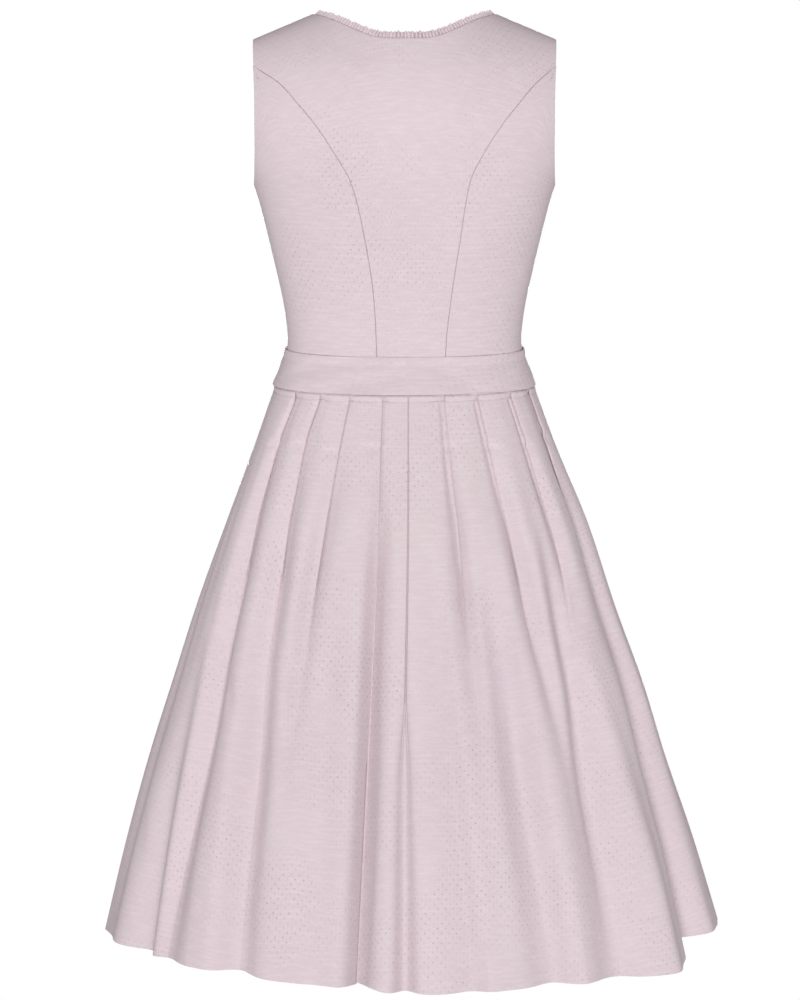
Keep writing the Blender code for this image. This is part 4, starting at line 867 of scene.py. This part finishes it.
FRONT_SET_IN = np.array(((-0.378, 0.0024), (-0.420, 0.0052), (-0.500, 0.0070), (-0.985, 0.0090)))
FRONT_PLEATS = (
    ((14.0,) * 7, 8.0, PLEAT_OPEN_Z, 3.5),
    ((29.0, 29.0, 29.0, 29.5, 29.5, 30.0, 30.0), 8.0, PLEAT_OPEN_Z, 3.5),
    ((44.0, 44.5, 45.0, 45.5, 46.0, 46.0, 46.0), 8.0, PLEAT_OPEN_Z, 3.5),
    ((60.0, 61.0, 62.0, 62.5, 62.5, 62.0, 62.0), 8.0, PLEAT_OPEN_Z, 3.5),
)
FRONT_CENTRE = ((0.0,) * 7, 7.0, CENTRE_OPEN_Z, 2.5)
FRONT_FOLDS = (
    ((14.0, 14.0, 14.0, 14.5, 14.5, 15.0, 15.0), 4.0, 4.0, (0, 0, 1, 4, 7, 10, 13)),
    ((-14.0, -14.0, -14.0, -13.5, -13.5, -13.0, -13.0), 4.0, 4.0, (0, 0, 1, 4, 8, 11, 14)),
    ((33.0, 33.0, 34.0, 34.0, 35.0, 36.0, 36.0), 4.0, 4.0, (0, 0, 1, 5, 8, 11, 13)),
    ((-36.0, -36.0, -35.5, -35.0, -34.5, -34.0, -34.0), 4.0, 4.0, (0, 0, 1, 4, 8, 12, 14)),
    ((55.0, 55.5, 56.0, 56.5, 57.0, 57.0, 57.0), 4.0, 4.0, (0, 0, 1, 4, 8, 11, 13)),
    ((-54.0, -54.5, -55.0, -56.0, -56.5, -57.0, -57.0), 4.0, 4.0, (0, 0, 1, 4, 8, 10, 13)),
    ((78.0, 78.0, 77.5, 77.0, 76.5, 76.0, 76.0), 4.5, 4.5, (0, 0, 1, 2, 3, 5, 7)),
    ((-77.0, -77.0, -77.5, -78.0, -78.5, -79.0, -79.0), 4.5, 4.5, (0, 0, 1, 2, 3, 4, 6)),
)


def front_ripple(turn, z):
    """Small uneven waves that grow below the stitching."""
    below = soft_step((PLEAT_STITCHED_Z - z) / 0.12)
    return below * (0.0005 * np.sin(turn * 0.36 + 7.0 * z + 2.0) + 0.0003 * np.sin(turn * 0.8 - 9.0 * z))


z = z[np.r_[0:len(z) - 61:3, len(z) - 61:len(z)]]    # every third row above the free pleats
grid = pleated_width(z, FRONT_CENTRE, FRONT_PLEATS, FRONT_PLEATS, FRONT_FOLDS, True, front_ripple)
front_width = cloth("skirt_front_width", grid, SKIRT_WALL, skirt_cloth, "skirt_front")


# ==== Neck frill ============================================================================
# A narrow strip of the bodice's cloth, pressed in small even waves and rooted inside the
# neckline, all the way round, so that its wavy edge shows above it.

FRILL_ABOVE, FRILL_BELOW, FRILL_WALL = 0.0078, 0.0030, 0.00045
FRILL_WAVES, WAVE_COLUMNS = 180, 10


def neckline(count):
    """The neckline from the centre front over the left shoulder and round: its points, the way out
    of the cloth's face, and the way on past its edge."""
    x = NECK_POINT_X * np.linspace(0.0, 1.0, 200)
    parts, outs = [], []
    for z, front in ((front_neckline(x), True), (back_neckline(x), False)):
        step = 0.0015
        low = np.minimum(z, shoulder_height(x) - 0.0025)
        across = on_bodice(x + step, low, front) - on_bodice(x - step, low, front)
        up = on_bodice(x, low, front) - on_bodice(x, low - step, front)
        out = unit(np.cross(across, up))
        parts.append(on_bodice(x, z, front))
        outs.append(out * np.sign(out[:, 1:2]) * (-1.0 if front else 1.0))
    halves = []
    for front_half, back_half in (parts, outs):
        mirrored = [half * np.array([-1.0, 1.0, 1.0]) for half in (front_half, back_half)]
        halves.append(np.concatenate([front_half, back_half[::-1][1:], mirrored[1][1:],
                                      mirrored[0][::-1][1:]]))
    line, out = halves
    length = np.concatenate([[0.0], np.cumsum(np.linalg.norm(np.diff(line, axis=0), axis=1))])
    spots = np.linspace(0.0, length[-1], count)
    line = np.stack([np.interp(spots, length, line[:, k]) for k in range(3)], axis=1)
    out = unit(np.stack([np.interp(spots, length, out[:, k]) for k in range(3)], axis=1))
    run = np.gradient(line, axis=0)
    for _ in range(max(4, count // 60)):
        run[1:-1] = (run[:-2] + 2 * run[1:-1] + run[2:]) / 4
        out[1:-1] = (out[:-2] + 2 * out[1:-1] + out[2:]) / 4
    return line, unit(out), unit(np.cross(out, unit(run)))


def frill_strip():
    """Grid of the frill, root first: the neckline carried up past its edge, with a sine wave and a
    part of its double across it that grow towards the free edge and differ from wave to wave."""
    line, out, beyond = neckline(FRILL_WAVES * WAVE_COLUMNS + 1)
    turn = 2 * math.pi * np.arange(len(line)) / WAVE_COLUMNS
    uneven = 1 + 0.25 * np.sin(turn * 0.173) + 0.20 * np.sin(turn * 0.41 + 2.0)
    rise = np.linspace(0.0, 1.0, 8)[:, None, None]
    wave = (np.sin(turn) + 0.30 * np.sin(2 * turn + 0.5))[None, :, None]
    depth = (0.0003 + 0.0012 * rise ** 0.7) * uneven[None, :, None]
    inset = 0.0026 - 0.0020 * rise
    ragged = 0.0004 * (np.sin(turn * 0.5 + 1.0) + np.sin(turn * 0.31))[None, :, None] * rise ** 2
    up = -FRILL_BELOW + (FRILL_ABOVE + FRILL_BELOW) * rise + ragged
    return line[None] + beyond[None] * up - out[None] * inset + out[None] * wave * depth


frill = cloth("neck_frill_strip", frill_strip(), FRILL_WALL, bodice_cloth, "neck_frill")


# ==== Apron band ============================================================================
# A straight folded band of the apron's cloth round the waist, stiffened a little. Its upper edge
# is pressed and its lower edge stands free at the back.

BAND_TOP_Z, BAND_BOTTOM_Z, BAND_WALL, BAND_STAND = -0.335, -0.3735, 0.0015, 0.00175


def band_lift(turn):
    """How far band and apron stand out over the lapped fronts: a soft step near the centre."""
    return OVERLAP_LIFT * soft_step((26.0 - np.abs(turn)) / 12.0)


def band_ring():
    """Closed grid of the band, lower edge first: the bodice's squared ellipse, set out by the band's
    stand, with a free lower edge, a pressed line below the top, and soft dents as sines and a bell."""
    angle = np.linspace(0.0, 360.0, 420, endpoint=False)[None, :]
    t = np.linspace(0.0, 1.0, 22)[:, None]
    turn = np.radians(angle)
    z = BAND_BOTTOM_Z + (BAND_TOP_Z - BAND_BOTTOM_Z) * t + 0.0 * angle
    aside, behind = squared_circle(turn, BODICE_SQUARENESS)
    half_width = along(BODICE_RINGS, 1, z) + BAND_STAND
    depth = np.where(behind > 0, along(BODICE_RINGS, 2, z), along(BODICE_RINGS, 3, z))
    depth = depth + BAND_STAND + band_lift(angle - 180.0)
    free_edge = 0.0011 * (1 - t) ** 2 * (1 + 0.3 * np.sin(turn * 5 + 1.0))
    pressed = 0.0004 * bell(t - 0.90, 0.05) - 0.0005 * bell(t - 0.78, 0.08)
    dents = 0.0007 * np.sin(turn * 7 + 9 * t) * np.sin(turn * 2 + 0.5)
    stand = free_edge + pressed + dents - 0.0010 * bell(angle - 328.0 - 22 * t, 7.0)
    return np.stack([half_width * aside + stand * np.sin(turn), depth * behind + stand * np.cos(turn), z],
                    axis=-1)


apron_cloth = jacquard("apron_jacquard")
band = cloth("waist_band", band_ring(), BAND_WALL, apron_cloth, "apron_band", closed=True)


# ==== Apron panel ===========================================================================
# One width of the apron's cloth, gathered into the band and hanging in broad folds over the
# front. Its side edges are hemmed and fall in against the skirt.

APRON_EDGE, APRON_GATHERS, APRON_FOLDS, APRON_HEM_Z = 73.0, 14, 7, -0.955
APRON_WALL, APRON_TUCK = 0.0007, 0.0055
LAP_LIFT_ENDS_Z = -0.410    # from here down the lapped fronts no longer lift the apron
GATHER_DEPTH = np.array(((-0.373, 0.0006), (-0.405, 0.0016), (-0.450, 0.0014), (-0.560, 0.0), (-1.0, 0.0)))
FOLD_DEPTH = np.array(((-0.373, 0.0), (-0.430, 0.0006), (-0.560, 0.0042), (-0.955, 0.0115)))


def apron_panel():
    """Grid of the apron, band first: the skirt's ring, lifted by fine gathers that die out below
    the band and by broad folds that grow to the hem, both 1 + cosine of the share of the width."""
    share = np.linspace(-1.0, 1.0, 341)[None, :]
    down = np.linspace(0.0, 1.0, 92)[:, None] ** 1.15
    share, z = np.broadcast_arrays(share, BAND_BOTTOM_Z - 0.0003 + (APRON_HEM_Z - BAND_BOTTOM_Z) * down)
    inside = 1.0 - np.abs(share)
    gather = along(GATHER_DEPTH, 1, z) * (0.35 + 0.65 * soft_step(inside * 5))
    broad = along(FOLD_DEPTH, 1, z) * (0.12 + 0.88 * soft_step(inside * 5))
    phase = share * math.pi
    wave = gather * (1 + np.cos(APRON_GATHERS * phase)) + broad * (1 + np.cos(APRON_FOLDS * phase + 0.6))
    near_band = soft_step((z - LAP_LIFT_ENDS_Z) / (BAND_BOTTOM_Z - LAP_LIFT_ENDS_Z))
    over_lap = band_lift(share * APRON_EDGE) * near_band
    tuck = APRON_TUCK * (1 - soft_step(inside * 9)) * soft_step((BAND_BOTTOM_Z - 0.02 - z) / 0.20)
    point, outward = ring_point(180.0 - share * APRON_EDGE, z)
    stand = wave + over_lap + 0.0004 - tuck
    return np.concatenate([point + outward * stand[..., None], z[..., None]], axis=-1)


apron_grid = apron_panel()
apron = cloth("apron_width", apron_grid, APRON_WALL, apron_cloth, "apron_panel")


# ==== Stitching =============================================================================
# Single rows of a matching rose thread: below the neck edge, along the waist seam at the back, and
# round the apron's two sides and its hem. Each stitch is a short thread that dips in at both ends.

STITCH_PITCH, STITCH_LENGTH, STITCH_THICKNESS = 0.0031, 0.0023, 0.00042
APRON_PITCH, APRON_STITCH, APRON_INSET = 0.0036, 0.0027, 0.011
NECK_STITCH_BELOW, WAIST_STITCH_Z = 0.0030, WAIST_SEAM_RELIEF[2][0]

thread, start = new_finish("rose_thread", {"Roughness": 0.6, "Specular IOR Level": 0.2})
body = start.add("ShaderNodeTexCoord", output="Object")
feed(thread, {"Base Color": body.noise(900.0, 2.0).mix((0.60, 0.49, 0.53, 1.0), (0.72, 0.62, 0.66, 1.0))})


def stitched(name, path, out, pitch=STITCH_PITCH, length=STITCH_LENGTH):
    """A row of stitches along a path, each thick in the middle and thin at both ends, where it
    dips into the cloth: half the thickness times (1 - t^4), for t from -1 to 1."""
    run = np.concatenate([[0.0], np.cumsum(np.linalg.norm(np.diff(path, axis=0), axis=1))])
    number = int((run[-1] - pitch) / pitch)
    spots = pitch * (0.75 + np.arange(number))
    middle = np.stack([np.interp(spots, run, path[:, k]) for k in range(3)], axis=1)
    after = np.stack([np.interp(spots + 0.0005, run, path[:, k]) for k in range(3)], axis=1)
    face = unit(np.stack([np.interp(spots, run, out[:, k]) for k in range(3)], axis=1))
    along_thread = unit(after - middle)
    aside = unit(np.cross(face, along_thread))
    t = np.array([-1.0, -0.75, 0.0, 0.75, 1.0])[None, :, None, None]
    round_thread = np.linspace(0.0, 2 * math.pi, 6, endpoint=False)[None, None, :, None]
    radius = STITCH_THICKNESS / 2 * (1.06 - t ** 4)
    rise = np.sin(round_thread) * radius - STITCH_THICKNESS * 0.45 * t ** 2
    points = (middle[:, None, None] + along_thread[:, None, None] * t * length / 2
              + face[:, None, None] * rise + aside[:, None, None] * np.cos(round_thread) * radius)
    rings, sides = points.shape[1:3]
    index = np.arange(rings * sides).reshape(rings, sides)
    first = np.arange(number)[:, None, None] * rings * sides
    walls = quads(np.concatenate([index, index[:, :1]], axis=1))[:, ::-1]
    faces = (walls[None] + first).reshape(-1, 4).tolist()
    faces += (index[0][None] + first[:, 0]).tolist() + (index[-1][::-1][None] + first[:, 0]).tolist()
    mesh = bpy.data.meshes.new(name)
    mesh.from_pydata(points.reshape(-1, 3), [], faces)
    mesh.polygons.foreach_set("use_smooth", np.ones(len(mesh.polygons), bool))
    mesh.materials.append(thread)
    piece = bpy.data.objects.new(name, mesh)
    bpy.context.scene.collection.objects.link(piece)
    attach(piece, "root")


line, out, beyond = neckline(600)
stitched("neck_topstitch", line - beyond * NECK_STITCH_BELOW + out * (BODICE_WALL / 2), out)

turn = np.linspace(-86.0, 86.0, 500)
level = np.full_like(turn, WAIST_STITCH_Z)
point, outward = ring_point(turn, level)
outward = np.concatenate([outward, 0.0 * turn[:, None]], axis=-1)
path = np.concatenate([point, level[:, None]], axis=-1) + outward * (SKIRT_WALL / 2 - 0.0006)
stitched("waist_seam_stitches", path, outward)

# The apron's rows follow its own grid, the same distance in from its sides and its hem
face = normals_of(apron_grid)
face = face * np.sign((face * (apron_grid - apron_grid.mean(axis=(0, 1)))).sum(axis=-1).mean())
down_run, across_run = lengths_along(apron_grid, 0), lengths_along(apron_grid, 1)
row = int(np.argmin(np.abs(down_run[-1].mean() - APRON_INSET - down_run.mean(axis=1))))
col = int(np.argmin(np.abs(across_run[60] - APRON_INSET)))
for name, rows, cols in (("apron_edge_stitches_left", slice(0, row + 1), col),
                         ("apron_hem_stitches", row, slice(col, -col)),
                         ("apron_edge_stitches_right", slice(0, row + 1), -col - 1)):
    path = apron_grid[rows, cols] + face[rows, cols] * 0.00038
    stitched(name, path, face[rows, cols], APRON_PITCH, APRON_STITCH)


# ==== Bow ===================================================================================
# The tie's two ends, tied in a bow at the centre front over the band: a padded knot, two loops
# pleated where the knot grips them, and two hanging tails of the apron's cloth.

KNOT = np.array([0.026, 0.016, 0.032])
TIE_WIDTH, TIE_WALL, BOW_CLEAR = 0.036, 0.0009, 0.0031
LOOP_REACH, LOOP_DEPTH, LOOP_DROP, LOOP_PINCHED = 0.078, 0.011, 0.014, 0.016
TAIL_LEFT, TAIL_RIGHT, TAIL_PINCHED = 0.3102, 0.3300, 0.018
BAND_MIDDLE_Z = (BAND_TOP_Z + BAND_BOTTOM_Z) / 2
BAND_LEAN = ((along(BODICE_RINGS, 3, BAND_BOTTOM_Z) - along(BODICE_RINGS, 3, BAND_TOP_Z))
             / (BAND_TOP_Z - BAND_BOTTOM_Z))
BOW_Y = -(along(BODICE_RINGS, 3, BAND_MIDDLE_Z) + BOW_CLEAR + OVERLAP_LIFT)


def round_solid(name, rings, finish, node):
    """A closed solid over a grid of rings, whose first and last are each drawn into one point."""
    rows, cols = rings.shape[:2]
    index = np.arange(rows * cols).reshape(rows, cols)
    mesh = bpy.data.meshes.new(name)
    mesh.from_pydata(rings.reshape(-1, 3), [], quads(np.concatenate([index, index[:, :1]], axis=1)))
    work = bmesh.new()
    work.from_mesh(mesh)
    bmesh.ops.remove_doubles(work, verts=work.verts, dist=1e-6)
    bmesh.ops.recalc_face_normals(work, faces=work.faces)
    work.to_mesh(mesh)
    work.free()
    mesh.polygons.foreach_set("use_smooth", np.ones(len(mesh.polygons), bool))
    mesh.materials.append(finish)
    piece = bpy.data.objects.new(name, mesh)
    bpy.context.scene.collection.objects.link(piece)
    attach(piece, "root")
    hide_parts(node)
    return piece


def knot_ball():
    """Grid of the knot, lowest point first: a ball squared by the power 0.78 of its sines and
    cosines, with two soft upright creases as bells, leaning with the band."""
    latitude = np.linspace(-math.pi / 2, math.pi / 2, 40)[:, None]
    longitude = np.linspace(0.0, 2 * math.pi, 96, endpoint=False)[None, :]
    ball = np.stack([np.cos(latitude) * np.cos(longitude), np.cos(latitude) * np.sin(longitude),
                     np.sin(latitude) + 0.0 * longitude], axis=-1)
    ball = np.sign(ball) * np.abs(ball) ** 0.78
    creased = 1 - 0.05 * bell(ball[..., 0] - 0.25, 0.10) - 0.06 * bell(ball[..., 0] + 0.35, 0.10)
    ball = ball * KNOT / 2 * creased[..., None] + np.array([0.0, BOW_Y - KNOT[1] / 2, BAND_MIDDLE_Z])
    ball[..., 1] += BAND_LEAN * (ball[..., 2] - BAND_MIDDLE_Z)
    return ball


def bow_loop(side):
    """Grid of a loop, out from the knot, round and back: its way out is (1 - cosine) / 2 of the
    turn, its two layers part by a sine that swells, and its width opens from where it is gripped."""
    turn = np.radians(np.linspace(28.0, 332.0, 90))[:, None]
    across = np.linspace(-0.5, 0.5, 28)[None, :]
    out = (1 - np.cos(turn)) / 2
    past = out - out[0]
    far = past / (1 - out[0])
    swell = np.sin(math.pi * np.clip(far, 0, 1) ** 0.8 * 0.94)
    depth = np.sin(turn) * LOOP_DEPTH * (0.25 + 0.75 * swell) / np.sin(turn[0]) * 0.62
    depth = np.clip(depth, -LOOP_DEPTH, LOOP_DEPTH)
    width = LOOP_PINCHED + (TIE_WIDTH - LOOP_PINCHED) * soft_step(past * 2.2)
    x = side * (KNOT[0] / 2 + 0.0005 + LOOP_REACH * past + 0.0 * across)
    share = np.abs(x) / along(BODICE_RINGS, 1, BAND_MIDDLE_Z)
    bend = (1 - share ** BODICE_SQUARENESS) ** (1 / BODICE_SQUARENESS)
    away = LOOP_DEPTH + 0.0045 * soft_step((np.abs(x) - KNOT[0] / 2 - 0.0005) / 0.02)
    pleats = 0.0010 * np.cos(across * 5 * math.pi + 0.6) * np.exp(-far / 0.22) * np.sign(np.sin(turn))
    z = BAND_MIDDLE_Z - LOOP_DROP * far ** 1.5 + width * across
    y = BOW_Y * bend - away - depth - pleats + BAND_LEAN * (z - BAND_MIDDLE_Z)
    return np.stack([x, y, z], axis=-1)


def bow_tail(side, length):
    """Grid of a tail, knot first: from the knot it eases on to a squared ellipse round the apron's
    highest folds. Its edges curl as a square, and a cosine's small pleats die out below the knot."""
    down = np.linspace(0.0, 1.0, 130)[:, None]
    across = np.linspace(-0.5, 0.5, 28)[None, :]
    level = BAND_MIDDLE_Z - KNOT[2] / 2 - 0.0005 - length * down + 0.0 * across
    width = TAIL_PINCHED + (TIE_WIDTH - TAIL_PINCHED) * soft_step(down * 4)
    x = side * (0.0112 + 0.038 * down ** 0.8) + width * across
    highest = 2 * (along(GATHER_DEPTH, 1, level) + along(FOLD_DEPTH, 1, level))
    depth = along(SKIRT_RINGS, 4, level) + highest + 0.0038
    half_width = (along(SKIRT_RINGS, 1, level) + along(SKIRT_RINGS, 2, level)) / 2
    power = along(SKIRT_RINGS, 5, level)
    y = -depth * (1 - (np.abs(x) / half_width) ** power) ** (1 / power)
    ease = soft_step(down * 6)
    y = np.minimum(y * ease + (1 - ease) * (BOW_Y - KNOT[1] / 2), y)
    y = y - 0.0012 * np.sin(down * 9 + side) * (across * 2) ** 2
    y = y + 0.0009 * np.cos(across * 4 * math.pi) * np.exp(-down / 0.12)
    z = level + 0.016 * across * side * soft_step((down - 0.8) * 5)
    return np.stack([x, y, z], axis=-1)


knot = round_solid("bow_knot_cloth", knot_ball(), apron_cloth, "bow_knot")
corners, spots = np.zeros(len(knot.data.loops), int), np.zeros(len(knot.data.vertices) * 3)
knot.data.loops.foreach_get("vertex_index", corners)
knot.data.vertices.foreach_get("co", spots)
chart = spots.reshape(-1, 3)[corners][:, [0, 2]]    # the knot's weave is charted from the front
knot.data.uv_layers.new(name="cloth").uv.foreach_set("vector", chart.reshape(-1).astype(np.float32))

for name, node, side in (("bow_loop_left_cloth", "bow_loop_left", 1),
                         ("bow_loop_right_cloth", "bow_loop_right", -1)):
    loop = cloth(name, bow_loop(side), TIE_WALL, apron_cloth, node)

for name, node, side, length in (("bow_tail_left_cloth", "bow_tail_left", 1, TAIL_LEFT),
                                 ("bow_tail_right_cloth", "bow_tail_right", -1, TAIL_RIGHT)):
    tail = cloth(name, bow_tail(side, length), TIE_WALL, apron_cloth, node)


# ==== Buttons ===============================================================================
# Six small domed buttons of dyed plastic, satin and faintly swirled, sewn through their shanks on
# the lapped centre front from the neckline down to the waist.

BUTTON_RADIUS, BUTTON_HEIGHT, TOP_BUTTON_Z, LOW_BUTTON_Z = 0.0065, 0.0032, -0.128, -0.318
DYE_DARK, DYE_LIGHT = (0.55, 0.44, 0.48, 1.0), (0.68, 0.57, 0.61, 1.0)
BUTTON_PROFILE = np.array((
    # share of the radius, share of the height: flat back, rounded rim, a step, then the dome
    (0.00, 0.00), (0.80, 0.00), (0.95, 0.08), (1.00, 0.24), (0.97, 0.40), (0.88, 0.50), (0.80, 0.50),
    (0.74, 0.55), (0.64, 0.72), (0.48, 0.87), (0.28, 0.97), (0.10, 1.00), (0.00, 1.00)))

button_finish, start = new_finish("button_finish", {"Specular IOR Level": 0.35, "Coat Weight": 0.10,
                                                    "Coat Roughness": 0.35})
swirl = start.add("ShaderNodeTexCoord", output="Object").noise(180.0, 3.0)
feed(button_finish, {"Base Color": swirl.ramp(0.35, 0.7).mix(DYE_DARK, DYE_LIGHT),
                     "Roughness": swirl * 0.12 + 0.38})


def domed_button(middle, z):
    """Grid of a button, back first: its profile turned round the way out of the bodice at z."""
    above, below = along(BODICE_RINGS, 3, z + BUTTON_RADIUS), along(BODICE_RINGS, 3, z - BUTTON_RADIUS)
    up = unit(np.array([0.0, (below - above) / (2 * BUTTON_RADIUS), 1.0]))
    face = np.array([0.0, -up[2], up[1]])
    turn = np.linspace(0.0, 2 * math.pi, 40, endpoint=False)[:, None]
    ring = np.cos(turn) * np.array([1.0, 0.0, 0.0]) + np.sin(turn) * up
    radius = BUTTON_PROFILE[:, 0, None, None] * BUTTON_RADIUS
    height = (BUTTON_PROFILE[:, 1, None, None] - 0.5) * BUTTON_HEIGHT
    return middle + radius * ring[None] + height * face


for number, z in enumerate(np.linspace(TOP_BUTTON_Z, LOW_BUTTON_Z, 6), 1):
    node = "button_%d" % number
    low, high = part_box(node)
    middle = np.array([(low[k] + high[k]) / 2 for k in range(3)])
    round_solid(node + "_domed", domed_button(middle, z), button_finish, node)


# ==== Studio ================================================================================
# A plain pale floor well below the dress and pale air all round. Both look nearly white, yet give
# the dress only a weak even light, so that the broad soft lamps behind and in front model it.

SHOWN_WHITE, FLOOR_GLOW, AIR_GLOW = 1.0, 0.60, 0.41
FLOOR_RADIUS, FLOOR_Z, LAMP_SOFTNESS = 8.0, -3.0, 18.0
LAMPS = (
    # name, turn round the dress from the back, height, both in degrees, strength
    ("back_light", 1.0, -4.0, 2.33),
    ("front_light", 181.0, -3.0, 2.25),
    ("left_light", 82.0, 2.0, 0.50),
    ("right_light", -82.0, 2.0, 0.50),
)
CAMERA_PLACE, CAMERA_DOWN, CAMERA_LENS = (0.0049, 5.0, 0.25), 8.55, 167.0


def shown_and_given(tree, given, given_output):
    """Mixes what the lens sees with what the dress is lit by: the lens sees a plain white glow."""
    start = Wire(tree)
    seen = start.add("ShaderNodeLightPath", output="Is Camera Ray")
    white = (SHOWN_WHITE, SHOWN_WHITE, SHOWN_WHITE, 1.0)
    glow = start.add("ShaderNodeEmission", {}, {"Color": white, "Strength": 1.0})
    light = Wire(tree, given.outputs[given_output])
    return start.add("ShaderNodeMixShader", {}, {0: seen, 1: light, 2: glow})


around = np.linspace(0.0, 2 * math.pi, 64, endpoint=False)
rim = np.stack([FLOOR_RADIUS * np.cos(around), FLOOR_RADIUS * np.sin(around), 0 * around + FLOOR_Z], axis=-1)
floor_mesh = bpy.data.meshes.new("studio_floor")
floor_mesh.from_pydata(rim, [], [tuple(range(64))])
floor = bpy.data.objects.new("studio_floor", floor_mesh)
bpy.context.scene.collection.objects.link(floor)
floor_grey = (FLOOR_GLOW, FLOOR_GLOW, FLOOR_GLOW, 1.0)
floor_finish, start = new_finish("studio_floor_finish", {"Base Color": floor_grey, "Roughness": 0.9,
                                                         "Specular IOR Level": 0.1})
tree = floor_finish.node_tree
floor_look = shown_and_given(tree, tree.nodes["Principled BSDF"], "BSDF")
tree.links.new(floor_look.socket, tree.nodes["Material Output"].inputs["Surface"])
floor_mesh.materials.append(floor_finish)

world = bpy.data.worlds.new("studio_air")
bpy.context.scene.world = world
world.use_nodes = True
tree = world.node_tree
air = tree.nodes["Background"]
air.inputs["Color"].default_value = (1.0, 1.0, 1.0, 1.0)
air.inputs["Strength"].default_value = AIR_GLOW
air_look = shown_and_given(tree, air, "Background")
tree.links.new(air_look.socket, tree.nodes["World Output"].inputs["Surface"])

for name, turn, height, strength in LAMPS:
    light = bpy.data.lights.new(name, "SUN")
    light.energy, light.angle = strength, math.radians(LAMP_SOFTNESS)
    lamp = bpy.data.objects.new(name, light)
    bpy.context.scene.collection.objects.link(lamp)
    lamp.rotation_euler = (math.radians(90.0 - height), 0.0, math.radians(180.0 - turn))

view = bpy.data.cameras.new("camera")
view.sensor_fit, view.sensor_height, view.sensor_width = "VERTICAL", 36.0, 28.8
view.lens = CAMERA_LENS
camera = bpy.data.objects.new("camera", view)
bpy.context.scene.collection.objects.link(camera)
camera.location = CAMERA_PLACE
camera.rotation_euler = (math.radians(90.0 - CAMERA_DOWN), 0.0, math.pi)
bpy.context.scene.camera = camera
bpy.context.scene.view_settings.view_transform = "Standard"
